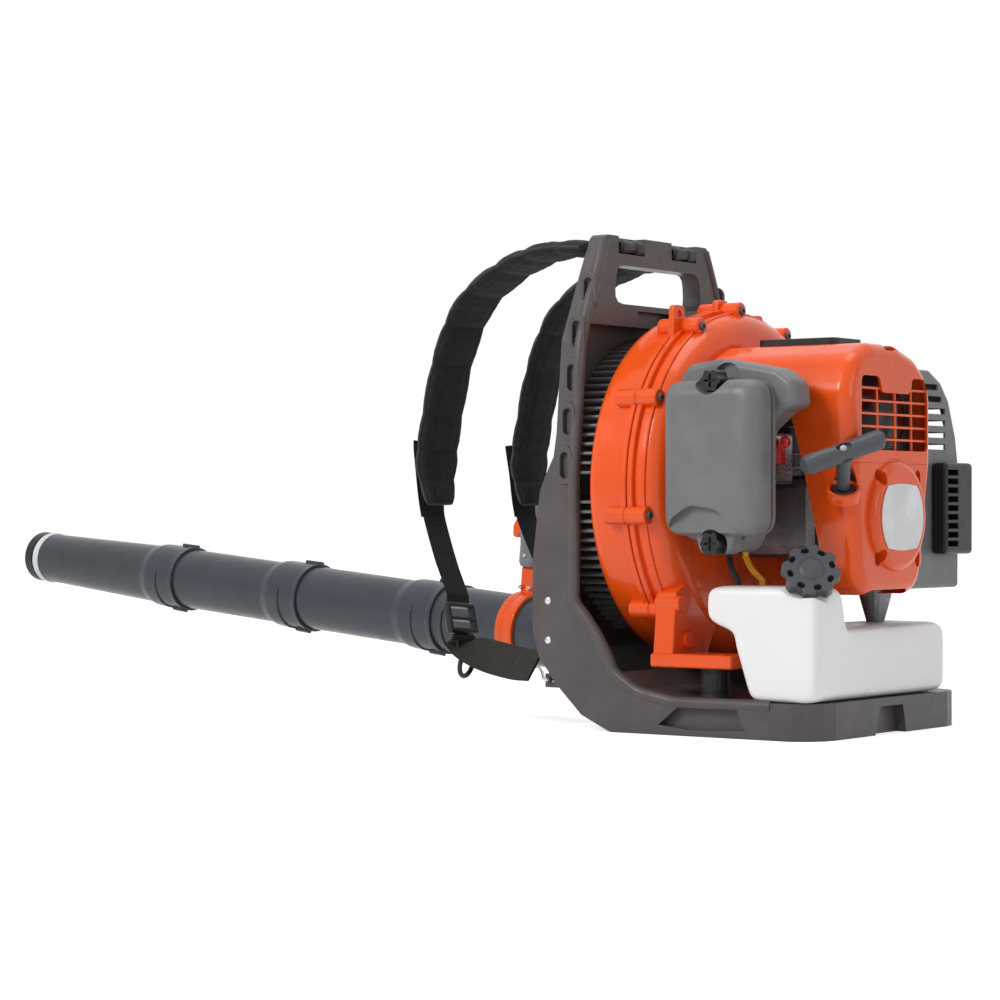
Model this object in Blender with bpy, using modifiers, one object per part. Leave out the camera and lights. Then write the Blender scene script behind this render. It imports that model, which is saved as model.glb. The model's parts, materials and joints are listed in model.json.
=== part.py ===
"""Backpack leaf blower, standing on its base.

Metres. +Z is up, +Y is the way the wearer faces, +X is the wearer's right, where the air tube runs.
The origin is on the floor under the middle of the base.
"""

import math

import bmesh
import bpy
from mathutils import Matrix, Vector

# ---------------------------------------------------------------- driving dimensions
GAP = 0.0003                 # clearance that touching pieces keep
WALL = 0.0025                # wall of the moulded covers

# Frame
FRAME_HALF_WIDTH = 0.155
FRAME_HEIGHT = 0.505
FRAME_WALL = 0.005
SHOULDER_Z = 0.395
SHOULDER_HALF_WIDTH = 0.142
TOP_HALF_WIDTH = 0.097
RAIL_REAR_Y = 0.108           # rear edge of the upright side rails
BACK_REAR_Y = 0.085           # where the base's curve runs out into the rails
BACK_FRONT_Y = 0.133
LUMBAR_FRONT_Y = 0.160
BASE_REAR_Y = -0.170
BASE_HEIGHT = 0.036
BASE_CORNER = 0.040
BASE_RIM = 0.016
SPINE_HALF_WIDTH = 0.022
HAND_HALF_WIDTH = 0.084
HAND_HEIGHT = 0.040
HAND_BAR = 0.030             # height of the grip bar over the hand window
POCKET_TOP_Z = 0.412
LACING_SLOTS = 5
LACING_PITCH = 0.0445
LACING_TOP_Z = 0.445
EYE_X = FRAME_HALF_WIDTH - 0.005
EYE_Y = 0.1385
EYE_Z = 0.050
EYE_RADIUS = 0.0036
HOOK_RADIUS = 0.0016

# Fan housing, engine and starter share the crank axis, which runs along Y
CRANK_X = 0.004
CRANK_Z = 0.216
FAN_X = 0.015                # middle of the volute, off the crank axis
FAN_Z = 0.245
FAN_RADIUS = 0.180
FAN_FRONT_Y = 0.088
FAN_REAR_Y = -0.004
SPLIT_Y = 0.036
RIM_HEIGHT = 0.005
RIM_HALF = 0.0065
INLET_RADIUS = 0.088
DUCT_X = FRAME_HALF_WIDTH + 0.010
DUCT_RADIUS = 0.0395
DUCT_END_Z = 0.150
BOSS_RADIUS = 0.0085
BOSS_ANGLES = (20, 62, 92, 117, 151, 189, 222, 298)
ELBOW_ROOM = 0.0475          # from the duct axis to the flat that the elbow passes
IMPELLER_RADIUS = 0.125
IMPELLER_BLADES = 12
SHAFT_RADIUS = 0.006
JOURNAL_GAP = 0.0006         # running clearance of shafts in their bearings

# Intake guard
GUARD_X = 0.010
GUARD_RADIUS = 0.157
GUARD_SLATS = 60

# Rubber mounts
AV_X = FRAME_HALF_WIDTH - 0.035
AV_Y = -0.037
AV_RADIUS = 0.0155
BRACKET_Z = 0.066
BRACKET_HEIGHT = 0.014

# Engine
CASE_REAR_Y = -0.105
CASE_LEFT_X = -0.040
CASE_RIGHT_X = 0.047
CASE_BOTTOM_Z = 0.174
CASE_TOP_Z = 0.256
CASE_BORE = 0.029
CASE_WALL = 0.011
REST_X = 0.052
REST_Y = -0.121
REST_TOP_Z = 0.155
BARREL_Y = -0.058
BARREL_TOP_Z = 0.345
BARREL_RADIUS = 0.030
FIN_RADIUS = 0.042
FIN_COUNT = 6
BORE_RADIUS = 0.0225
STROKE = 0.034
WEB_RADIUS = 0.0235
PISTON_HEIGHT = 0.024
PLUG_RADIUS = 0.0085
FLYWHEEL_RADIUS = 0.046
FLYWHEEL_Y = -0.124
FLYWHEEL_WIDTH = 0.014

# Hood, split into the engine cowl above and the starter housing below
HOOD_REAR_Y = -0.170
HOOD_BOTTOM_Z = 0.137
HOOD_TOP_Z = 0.387
HOOD_SPLIT_Z = 0.268
HOOD_EDGE = 0.014
STARTER_RADIUS = 0.055
STARTER_PROUD = 0.008
SCREW_SPREAD = 0.0425
GRILLE_BARS = 5

# Recoil starter
PULLEY_RADIUS = 0.024
PULLEY_Y = -0.148
PULLEY_WIDTH = 0.009
POST_RADIUS = 0.005
ROPE_RADIUS = 0.0017
PULL_X = -0.079
PULL_Y = -0.158
PULL_Z = 0.240
PULL_DIRECTION = Vector((-0.45, -0.25, 0.857)).normalized()
GRIP_DIRECTION = Vector((0.834, -0.462, 0.303)).normalized()
GUIDE_RADIUS = 0.011
GUIDE_TOP = 0.004
GRIP_LENGTH = 0.092
GRIP_RADIUS = 0.009
GRIP_RISE = 0.044            # from the rope guide to the middle of the grip

# Air filter and carburettor
FILTER_FACE_X = -0.178
FILTER_SEAT_X = -0.140
FILTER_BACK_X = -0.105
FILTER_REAR_Y = -0.118
FILTER_FRONT_Y = -0.008
FILTER_TOP_Z = 0.348
FILTER_BOTTOM_Z = 0.197
FILTER_RIM = 0.006
KNOB_RADIUS = 0.0115
KNOB_Y = -0.063
KNOB_STEM = 0.003
KNOB_TOP_Z = 0.347
KNOB_BOTTOM_Z = 0.189
CARB_REAR_Y = -0.088
CARB_FRONT_Y = -0.030
CARB_BOTTOM_Z = 0.248
CARB_TOP_Z = 0.298
CHOKE_Z = 0.273
CHOKE_X = -0.082

# Muffler on the right
MUFFLER_RIGHT_X = 0.160
MUFFLER_REAR_Y = -0.112
MUFFLER_FRONT_Y = -0.028
MUFFLER_BOTTOM_Z = 0.180
MUFFLER_TOP_Z = 0.335
SHIELD_LEFT_X = 0.090
SHIELD_RIGHT_X = 0.229
SHIELD_REAR_Y = -0.125
SHIELD_BOTTOM_Z = 0.140
SHIELD_TOP_Z = 0.369
SHIELD_SLOTS = 6
SHIELD_SIDE_SLOTS = 4
GUARD_LEFT_X = 0.165
GUARD_RIGHT_X = 0.226
GUARD_BOTTOM_Z = 0.176
GUARD_TOP_Z = 0.272
GUARD_DEPTH = 0.018
HEAT_SLOTS = 9

# Fuel tank
TANK_LEFT_X = -0.155
TANK_RIGHT_X = 0.113
TANK_REAR_Y = -0.170
TANK_TOP_Z = 0.108
TANK_FILLER_TOP_Z = 0.148
TANK_FILLER_RIGHT_X = -0.098
CAP_CENTRE = Vector((-0.133, -0.153, 0.163))
CAP_DIRECTION = Vector((-0.68, -0.50, 0.54)).normalized()
CAP_RADIUS = 0.0285
CAP_HEIGHT = 0.017
CAP_LOBES = 8
LINE_RADIUS = 0.003

# Air tube: an elbow, a ribbed hose, then sections that slip into one another
TUBE_START = Vector((DUCT_X + 0.0455, 0.160, 0.0545))
TUBE_DIRECTION = Vector((0.0886, 1.0, 0.0886)).normalized()
ELBOW_RADIUS = 0.0405
ELBOW_BORE = 0.0375
SPIGOT_LENGTH = 0.030
HOSE_LENGTH = 0.140
HOSE_RADIUS = 0.0440
HOSE_RIB_HEIGHT = 0.0040
HOSE_RIBS = 14
CLAMP_WIDTH = 0.012
CLAMP_HEIGHT = 0.0022
TUBE_RADII = (0.0405, 0.0398, 0.0388)
TUBE_WALL = 0.0020
SOCKET_LENGTH = 0.060
CONTROL_TUBE_LENGTH = 0.360
TUBE_LENGTH = 0.232
NOZZLE_LENGTH = 0.312
NOZZLE_TIP_RADIUS = 0.0325
NOZZLE_RING = 0.012

# Control handle
HANDLE_PLACE = 0.182         # along the control tube from its start to the middle of the clamp
HANDLE_CLAMP_WIDTH = 0.026
HANDLE_CLAMP_WALL = 0.004
HANDLE_ARM_HEIGHT = 0.034
HANDLE_ARM_WIDTH = 0.013
HANDLE_GRIP_HEIGHT = 0.078
HANDLE_GRIP_RADIUS = 0.019

# Harness
PAD_X = 0.085
PAD_WIDTH = 0.066
PAD_THICKNESS = 0.017
PAD_CHANNELS = 9
WEB_WIDTH = 0.038
WEB_THICKNESS = 0.0018
BUCKLE_WIDTH = 0.048
TOGGLE_X = 0.050
TOGGLE_Y = 0.112
TOGGLE_DEPTH = 0.018          # from the frame's top down to the floor of a toggle's seat
TOGGLE_LENGTH = 0.044
TOGGLE_RADIUS = 0.0075

X_AXIS = Vector((1, 0, 0))
Y_AXIS = Vector((0, 1, 0))
Z_AXIS = Vector((0, 0, 1))
ORIGIN = Vector((0, 0, 0))

# ---------------------------------------------------------------- scene and materials


def clear_scene():
    for obj in list(bpy.data.objects):
        bpy.data.objects.remove(obj, do_unlink=True)


clear_scene()
PART = bpy.data.collections.new("backpack_leaf_blower")
CUTTERS = bpy.data.collections.new("cutters")
bpy.context.scene.collection.children.link(PART)
bpy.context.scene.collection.children.link(CUTTERS)


def material(name, color, roughness, metallic=0.0):
    mat = bpy.data.materials.new(name)
    mat.use_nodes = True
    shader = mat.node_tree.nodes["Principled BSDF"]
    shader.inputs["Base Color"].default_value = (*color, 1.0)
    shader.inputs["Roughness"].default_value = roughness
    shader.inputs["Metallic"].default_value = metallic
    return mat


def paint(obj, name, color, roughness, metallic=0.0):
    """The last step of each piece: its material, and a weld of the corners that cuts leave doubled."""
    obj.data.materials.append(material(name, color, roughness, metallic))
    if any(modifier.type == "BOOLEAN" for modifier in obj.modifiers):
        weld = obj.modifiers.new("Weld", "WELD")
        weld.merge_threshold = 4e-6
    return obj


ORANGE = (0.90, 0.13, 0.015)
FRAME_GREY = (0.075, 0.068, 0.066)
COVER_GREY = (0.25, 0.26, 0.27)
BLACK = (0.012, 0.012, 0.013)
SLATE = (0.045, 0.052, 0.062)
ALUMINIUM = (0.55, 0.55, 0.56)
STEEL = (0.45, 0.45, 0.46)
WEBBING = (0.018, 0.018, 0.018)

# ---------------------------------------------------------------- modelling helpers


def add_object(name, mesh, collection, origin=ORIGIN):
    obj = bpy.data.objects.new(name, mesh)
    obj.location = origin
    collection.objects.link(obj)
    return obj


def from_bmesh(name, bm, collection=None, origin=ORIGIN):
    bmesh.ops.recalc_face_normals(bm, faces=bm.faces)
    mesh = bpy.data.meshes.new(name)
    bm.to_mesh(mesh)
    bm.free()
    return add_object(name, mesh, collection or PART, origin)


def as_cutter(obj):
    for collection in list(obj.users_collection):
        collection.objects.unlink(obj)
    CUTTERS.objects.link(obj)
    obj.hide_render = True
    obj.display_type = "WIRE"
    return obj


def boolean(obj, other, operation):
    as_cutter(other)
    modifier = obj.modifiers.new(operation.title() + " " + other.name, "BOOLEAN")
    modifier.operation = operation
    modifier.object = other
    modifier.solver = "EXACT"
    return obj


def cut(obj, *others):
    for other in others:
        boolean(obj, other, "DIFFERENCE")
    return obj


def join(obj, *others):
    for other in others:
        boolean(obj, other, "UNION")
    return obj


def keep(obj, other):
    return boolean(obj, other, "INTERSECT")


def bevel(obj, width, segments=2, angle=50):
    modifier = obj.modifiers.new("Bevel", "BEVEL")
    modifier.width = width
    modifier.segments = segments
    modifier.limit_method = "ANGLE"
    modifier.angle_limit = math.radians(angle)
    return obj


def box(name, low, high, origin=ORIGIN, rounding=0.0, segments=2):
    bm = bmesh.new()
    bmesh.ops.create_cube(bm, size=1.0)
    size = Vector(high) - Vector(low)
    middle = (Vector(high) + Vector(low)) / 2 - Vector(origin)
    bmesh.ops.transform(bm, verts=bm.verts, matrix=Matrix.Translation(middle) @ Matrix.Diagonal((*size, 1.0)))
    obj = from_bmesh(name, bm, origin=origin)
    if rounding:
        bevel(obj, rounding, segments)
    return obj


def fillet(points, radius, steps=3):
    """The outline with each corner replaced by an arc, smaller where its sides are short."""
    rounded = []
    count = len(points)
    for i, point in enumerate(points):
        corner = Vector(point)
        back = Vector(points[i - 1]) - corner
        ahead = Vector(points[(i + 1) % count]) - corner
        turn = math.pi - back.angle(ahead)
        if turn < math.radians(4):
            rounded.append(tuple(corner))
            continue
        reach = min(radius * math.tan(turn / 2), 0.45 * back.length, 0.45 * ahead.length)
        start = corner + back.normalized() * reach
        end = corner + ahead.normalized() * reach
        for k in range(steps + 1):
            t = k / steps
            rounded.append(tuple(start * (1 - t) ** 2 + corner * 2 * t * (1 - t) + end * t * t))
    return rounded


AXES = {
    "X": (Y_AXIS, Z_AXIS, X_AXIS),
    "Y": (X_AXIS, Z_AXIS, -Y_AXIS),
    "Z": (X_AXIS, Y_AXIS, Z_AXIS),
}


def prism(name, outline, low, high, axis="X", origin=ORIGIN, rounding=0.0, segments=2):
    """A flat outline in the plane across an axis, drawn out from low to high along it."""
    curve = bpy.data.curves.new(name + "_outline", "CURVE")
    curve.dimensions = "2D"
    curve.fill_mode = "BOTH"
    curve.extrude = (high - low) / 2
    spline = curve.splines.new("POLY")
    spline.points.add(len(outline) - 1)
    for place, (u, v) in zip(spline.points, outline):
        place.co = (u, v, 0, 1)
    spline.use_cyclic_u = True
    drawn = bpy.data.objects.new(name + "_outline", curve)
    CUTTERS.objects.link(drawn)
    mesh = bpy.data.meshes.new_from_object(drawn.evaluated_get(bpy.context.evaluated_depsgraph_get()))
    bpy.data.objects.remove(drawn, do_unlink=True)
    u_axis, v_axis, w_axis = AXES[axis]
    matrix = Matrix((u_axis, v_axis, w_axis)).transposed().to_4x4()
    middle = Vector({"X": X_AXIS, "Y": Y_AXIS, "Z": Z_AXIS}[axis]) * (low + high) / 2
    bm = bmesh.new()
    bm.from_mesh(mesh)
    bmesh.ops.remove_doubles(bm, verts=bm.verts, dist=1e-6)
    bmesh.ops.dissolve_limit(bm, angle_limit=0.001, verts=bm.verts, edges=bm.edges)
    bmesh.ops.transform(bm, verts=bm.verts, matrix=Matrix.Translation(middle - Vector(origin)) @ matrix)
    obj = from_bmesh(name, bm, origin=origin)
    if rounding:
        bevel(obj, rounding, segments)
    return obj


def aim(origin, direction, side=None):
    """A matrix whose local Z is the direction, with local X towards the side where one is given."""
    z = Vector(direction).normalized()
    x = Vector(side) if side is not None else (X_AXIS if abs(z.x) < 0.9 else Y_AXIS)
    x = (x - z * x.dot(z)).normalized()
    y = z.cross(x)
    matrix = Matrix((x, y, z)).transposed().to_4x4()
    matrix.translation = Vector(origin)
    return matrix


def turned(name, profile, steps, origin=ORIGIN, direction=Z_AXIS, side=None, ring=False, phase=0.0):
    """A profile of (radius, height) turned about the direction through the origin, from an angle of phase."""
    points = list(profile)
    area = sum(a[0] * b[1] - b[0] * a[1] for a, b in zip(points, points[1:] + points[:1]))
    if area > 0:
        points.reverse()
    mesh = bpy.data.meshes.new(name)
    edges = [(i, i + 1) for i in range(len(points) - 1)]
    if ring:
        edges.append((len(points) - 1, 0))
    mesh.from_pydata([(r, 0, z) for r, z in points], edges, [])
    obj = add_object(name, mesh, PART)
    obj.matrix_world = aim(origin, direction, side) @ Matrix.Rotation(phase, 4, "Z")
    modifier = obj.modifiers.new("Screw", "SCREW")
    modifier.axis = "Z"
    modifier.angle = math.tau
    modifier.steps = steps
    modifier.render_steps = steps
    modifier.use_merge_vertices = True
    modifier.merge_threshold = 1e-5
    modifier.use_smooth_shade = False
    return obj


def around(radius, steps):
    """The inside radius of a ring of flats that keeps clear of a round piece of the radius given."""
    return (radius + GAP) / math.cos(math.pi / steps)


def cylinder(name, radius, length, origin, direction, steps=24):
    return turned(name, [(0, 0), (radius, 0), (radius, length), (0, length)], steps, origin, direction, phase=0.043)


def pipe(name, outer, inner, length, origin, direction, steps=24):
    profile = [(outer, 0), (outer, length), (inner, length), (inner, 0)]
    return turned(name, profile, steps, origin, direction, ring=True)


def swept(name, points, radius, resolution=3, radii=None, origin=ORIGIN):
    """A round rod along points, as a closed mesh; radii scale it point by point."""
    curve = bpy.data.curves.new(name + "_path", "CURVE")
    curve.dimensions = "3D"
    curve.bevel_depth = radius
    curve.bevel_resolution = resolution
    curve.use_fill_caps = True
    spline = curve.splines.new("POLY")
    spline.points.add(len(points) - 1)
    for i, point in enumerate(points):
        spline.points[i].co = (*point, 1)
        if radii:
            spline.points[i].radius = radii[i] / radius
    drawn = bpy.data.objects.new(name + "_path", curve)
    CUTTERS.objects.link(drawn)
    mesh = bpy.data.meshes.new_from_object(drawn.evaluated_get(bpy.context.evaluated_depsgraph_get()))
    bpy.data.objects.remove(drawn, do_unlink=True)
    bm = bmesh.new()
    bm.from_mesh(mesh)
    bmesh.ops.remove_doubles(bm, verts=bm.verts, dist=1e-6)
    bmesh.ops.translate(bm, verts=bm.verts, vec=-Vector(origin))
    return from_bmesh(name, bm, origin=origin)


def loft(name, sections, origin=ORIGIN, closed=False):
    """A closed form through sections, each a ring of points with the same count."""
    bm = bmesh.new()
    rings = [[bm.verts.new(Vector(p) - Vector(origin)) for p in section] for section in sections]
    pairs = list(zip(rings, rings[1:]))
    if closed:
        pairs.append((rings[-1], rings[0]))
    for a, b in pairs:
        for i in range(len(a)):
            j = (i + 1) % len(a)
            bm.faces.new((a[i], a[j], b[j], b[i]))
    if not closed:
        bm.faces.new(list(reversed(rings[0])))
        bm.faces.new(rings[-1])
    return from_bmesh(name, bm, origin=origin)


def curve_through(points, steps):
    """Points on a smooth curve through the given ones, steps to a span."""
    points = [Vector(p) for p in points]
    padded = [points[0] * 2 - points[1]] + points + [points[-1] * 2 - points[-2]]
    found = []
    for i in range(len(points) - 1):
        a, b, c, d = padded[i:i + 4]
        for k in range(steps):
            t = k / steps
            found.append(0.5 * (2 * b + (c - a) * t + (2 * a - 5 * b + 4 * c - d) * t ** 2
                                + (3 * b - a - 3 * c + d) * t ** 3))
    found.append(points[-1])
    return found


def strip_frames(path, across):
    """For each point of a path: the point, the unit direction across and the unit normal."""
    frames = []
    for i, point in enumerate(path):
        ahead = path[min(i + 1, len(path) - 1)] - path[max(i - 1, 0)]
        side = Vector(across) - ahead.normalized() * Vector(across).dot(ahead.normalized())
        side.normalize()
        frames.append((point, side, side.cross(ahead.normalized())))
    return frames


def ribbon(name, path, width, thickness, across=X_AXIS):
    sections = []
    for point, side, normal in strip_frames(path, across):
        sections.append([point + side * u * width / 2 + normal * v * thickness / 2
                         for u, v in ((-1, -1), (1, -1), (1, 1), (-1, 1))])
    return loft(name, sections)


def mirrored(points, sign):
    return [Vector((p[0] * sign, p[1], p[2])) for p in points]


# ---------------------------------------------------------------- frame


def frame_side_outline():
    """The frame's L seen from the side, as (y, z), from the base's rear up to the top."""
    front = BACK_FRONT_Y
    lumbar = LUMBAR_FRONT_Y
    rear = BACK_REAR_Y
    rail = RAIL_REAR_Y
    return [
        (BASE_REAR_Y - 0.01, 0), (lumbar - 0.095, 0), (lumbar - 0.060, 0.016), (lumbar - 0.032, 0.043),
        (lumbar - 0.008, 0.072), (lumbar, 0.100), (lumbar, 0.171), (lumbar - 0.009, 0.242),
        (front + 0.002, 0.276), (front, 0.300), (front, SHOULDER_Z), (front - 0.005, FRAME_HEIGHT),
        (rail + 0.001, FRAME_HEIGHT), (rail, FRAME_HEIGHT - 0.045), (rail, 0.130), (rear - 0.007, 0.098),
        (rear - 0.025, 0.064), (rear - 0.053, BASE_HEIGHT + 0.008), (rear - 0.098, BASE_HEIGHT),
        (BASE_REAR_Y - 0.01, BASE_HEIGHT),
    ]


def frame_front_outline(inset=0.0):
    """The frame seen from behind, as (x, z)."""
    half = FRAME_HALF_WIDTH - inset
    right = [(half, -0.01), (half, 0.262), (SHOULDER_HALF_WIDTH - inset, SHOULDER_Z),
             (TOP_HALF_WIDTH + 0.016 - inset, FRAME_HEIGHT - 0.037), (TOP_HALF_WIDTH - inset, FRAME_HEIGHT + 0.001)]
    return right + [(-x, z) for x, z in reversed(right)]


def frame_half_width(z):
    """Half the frame's width at a height up to its top bar."""
    low, high, bar = 0.262, SHOULDER_Z, FRAME_HEIGHT - 0.037
    if z < low:
        return FRAME_HALF_WIDTH
    if z < high:
        return FRAME_HALF_WIDTH + (SHOULDER_HALF_WIDTH - FRAME_HALF_WIDTH) * (z - low) / (high - low)
    return SHOULDER_HALF_WIDTH + (TOP_HALF_WIDTH + 0.016 - SHOULDER_HALF_WIDTH) * (z - high) / (bar - high)


def frame_hollow():
    """The space between the frame's side walls, open to the rear."""
    front = BACK_FRONT_Y - FRAME_WALL
    lumbar = LUMBAR_FRONT_Y - FRAME_WALL
    rear = BACK_REAR_Y - 0.030
    outline = [
        (rear, POCKET_TOP_Z), (rear, BASE_HEIGHT), (rear + 0.008, BASE_HEIGHT - 0.010), (rear + 0.030, 0.013),
        (lumbar - 0.061, 0.024), (lumbar - 0.032, 0.051), (lumbar - 0.008, 0.079), (lumbar, 0.103),
        (lumbar, 0.168), (lumbar - 0.009, 0.239), (front + 0.001, 0.272), (front, 0.300), (front, POCKET_TOP_Z),
    ]
    hollow = prism("frame_hollow", outline, -FRAME_HALF_WIDTH, FRAME_HALF_WIDTH, "X")
    return keep(hollow, prism("frame_hollow_outline", frame_front_outline(FRAME_WALL), 0.0, 0.2, "Y"))


def hand_window():
    top = FRAME_HEIGHT - HAND_BAR
    corners = [(-HAND_HALF_WIDTH, top - HAND_HEIGHT), (HAND_HALF_WIDTH, top - HAND_HEIGHT),
               (HAND_HALF_WIDTH - 0.006, top), (-HAND_HALF_WIDTH + 0.006, top)]
    return prism("hand_window_cutter", fillet(corners, 0.014), 0.05, 0.18, "Y")


def base_cutters():
    """The hollows under the base, and the pockets in its sides and rear."""
    cutters = []
    for sign in (-1, 1):
        low = (min(sign * SPINE_HALF_WIDTH, sign * (FRAME_HALF_WIDTH - BASE_RIM)), BASE_REAR_Y + BASE_RIM, -0.01)
        high = (max(sign * SPINE_HALF_WIDTH, sign * (FRAME_HALF_WIDTH - BASE_RIM)),
                LUMBAR_FRONT_Y - 0.112, BASE_HEIGHT - FRAME_WALL)
        cutters.append(box(f"base_hollow_{sign}", low, high))
        pocket = [(-0.080, BASE_HEIGHT - 0.002), (-0.092, 0.008), (-0.030, 0.006), (0.008, 0.010),
                  (-0.022, BASE_HEIGHT - 0.002)]
        edge = sign * FRAME_HALF_WIDTH
        cutters.append(prism(f"base_pocket_{sign}", pocket, min(edge, edge - sign * 0.009) - 0.0005,
                             max(edge, edge - sign * 0.009) + 0.0005, "X"))
    notch = [(-0.026, BASE_HEIGHT - 0.008), (-0.040, -0.01), (0.030, -0.01), (0.020, BASE_HEIGHT - 0.008)]
    cutters.append(prism("base_rear_notch", notch, BASE_REAR_Y - 0.01, BASE_REAR_Y + 0.012, "Y"))
    return cutters


def lacing_cutters():
    """Shallow slots down both front side edges, where the harness can be laced."""
    cutters = []
    for sign in (-1, 1):
        for i in range(LACING_SLOTS):
            z = LACING_TOP_Z - i * LACING_PITCH
            lean = 0.0 if z < 0.30 else (z - 0.30) * 0.16
            x = sign * frame_half_width(z)
            y = BACK_FRONT_Y - 0.013 - lean * 0.3
            cutters.append(box(f"lacing_{sign}_{i}", (x - 0.0035, y - 0.006, z - 0.014),
                               (x + 0.0035, y + 0.006, z + 0.014)))
    return cutters


def base_plan():
    """The base seen from above, as (x, y), wider than the frame except at its rounded rear corners."""
    side = FRAME_HALF_WIDTH + 0.002
    radius = BASE_CORNER + 0.002
    plan = [(-side - 0.01, 0.2), (-side - 0.01, BASE_REAR_Y + radius)]
    for sign, first in ((-1, 180), (1, 270)):
        for k in range(5):
            angle = math.radians(first + 90 * k / 4)
            plan.append((sign * (side - radius) + radius * math.cos(angle),
                         BASE_REAR_Y + radius + radius * math.sin(angle)))
    return plan + [(side + 0.01, BASE_REAR_Y + radius), (side + 0.01, 0.2)]


def make_frame():
    frame = prism("frame", frame_side_outline(), -FRAME_HALF_WIDTH - 0.01, FRAME_HALF_WIDTH + 0.01, "X")
    keep(frame, prism("frame_front", fillet(frame_front_outline(), 0.014), BASE_REAR_Y - 0.03, 0.2, "Y"))
    keep(frame, prism("frame_plan", base_plan(), -0.01, 0.6, "Z"))
    for sign in (-1, 1):
        eye = Vector((sign * EYE_X, EYE_Y, EYE_Z))
        join(frame, box(f"strap_lug_{sign}", eye - Vector((0.0032, 0.026, 0.008)), eye + Vector((0.0032, 0.007, 0.006))))
    cut(frame, frame_hollow(), hand_window(), *base_cutters(), *lacing_cutters())
    cut(frame, box("frame_recess", (-0.040, RAIL_REAR_Y - 0.02, POCKET_TOP_Z + 0.004),
                   (0.030, RAIL_REAR_Y + 0.010, FRAME_HEIGHT - HAND_BAR - HAND_HEIGHT - 0.006)))
    for sign in (-1, 1):
        seat = box(f"toggle_seat_{sign}",
                   (sign * TOGGLE_X - TOGGLE_LENGTH / 2 - 0.002, TOGGLE_Y - 0.010, FRAME_HEIGHT - TOGGLE_DEPTH),
                   (sign * TOGGLE_X + TOGGLE_LENGTH / 2 + 0.002, TOGGLE_Y + 0.010, FRAME_HEIGHT + 0.02))
        eye = Vector((sign * EYE_X, EYE_Y, EYE_Z))
        cut(frame, seat, cylinder(f"strap_lug_hole_{sign}", EYE_RADIUS, 0.03, eye - X_AXIS * 0.015, X_AXIS, 12))
    return paint(frame, "frame_plastic", FRAME_GREY, 0.45)


def make_toggles():
    """Cross bars that hold the upper ends of the shoulder straps in the top bar."""
    z = FRAME_HEIGHT - TOGGLE_DEPTH + GAP + TOGGLE_RADIUS
    for name, sign in (("strap_toggle_left", -1), ("strap_toggle_right", 1)):
        start = Vector((sign * TOGGLE_X - TOGGLE_LENGTH / 2, TOGGLE_Y, z))
        r, h = TOGGLE_RADIUS, TOGGLE_LENGTH
        profile = [(0, 0), (r * 0.7, 0), (r, 0.003), (r, h * 0.35), (r * 0.85, h * 0.42), (r * 0.85, h * 0.58),
                   (r, h * 0.65), (r, h - 0.003), (r * 0.7, h), (0, h)]
        paint(turned(name, profile, 12, start, X_AXIS), "toggle_plastic", BLACK, 0.4)


# ---------------------------------------------------------------- fan housing


def fan_profile(offset, front, rear):
    """Half section of the volute barrel as (radius, y), inset by an offset."""
    r = FAN_RADIUS - offset
    return [(0, front), (r - 0.014, front), (r - 0.005, front - 0.003), (r, front - 0.012),
            (r, rear + 0.022), (r - 0.006, rear + 0.008), (r - 0.024, rear), (0, rear)]


def fan_shell(name):
    """The whole housing, both halves, before it is parted at the split plane."""
    centre = Vector((FAN_X, 0, FAN_Z))
    shell = turned(name, fan_profile(0, FAN_FRONT_Y, FAN_REAR_Y), 40, centre, Y_AXIS)
    rim = pipe(name + "_rim", FAN_RADIUS + RIM_HEIGHT, FAN_RADIUS - 0.001, 2 * RIM_HALF,
               centre + Y_AXIS * (SPLIT_Y - RIM_HALF), Y_AXIS, 40)
    duct_top = Vector((DUCT_X, SPLIT_Y, FAN_Z))
    duct = cylinder(name + "_duct", DUCT_RADIUS, FAN_Z - DUCT_END_Z, duct_top, -Z_AXIS, 24)
    join(shell, rim)
    cut(shell, elbow_room(name + "_room", 0.0))
    join(shell, duct)
    for angle in BOSS_ANGLES:
        reach = FAN_RADIUS + 0.003
        place = centre + Vector((math.cos(math.radians(angle)), 0, math.sin(math.radians(angle)))) * reach
        boss = cylinder(f"{name}_boss_{angle}", BOSS_RADIUS, 0.046, place + Y_AXIS * (SPLIT_Y - 0.023), Y_AXIS, 8)
        join(shell, boss)
    return shell


def elbow_room(name, wall):
    """The lower right corner that the volute gives up to the elbow."""
    return box(name, (DUCT_X - ELBOW_ROOM - wall, -0.1, 0), (0.3, 0.2, DUCT_END_Z + wall))


def fan_cavity(name):
    centre = Vector((FAN_X, 0, FAN_Z))
    cavity = turned(name, fan_profile(WALL, FAN_FRONT_Y - WALL, FAN_REAR_Y + WALL), 40, centre, Y_AXIS)
    return cut(cavity, elbow_room(name + "_room", WALL))


def duct_bore(name):
    top = Vector((DUCT_X, SPLIT_Y, FAN_Z))
    return cylinder(name, DUCT_RADIUS - WALL, FAN_Z - DUCT_END_Z + 0.01, top, -Z_AXIS, 26)


def fan_half_space(name, low, high):
    return box(name, (-0.3, low, 0.0), (0.3, high, 0.6))


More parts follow.
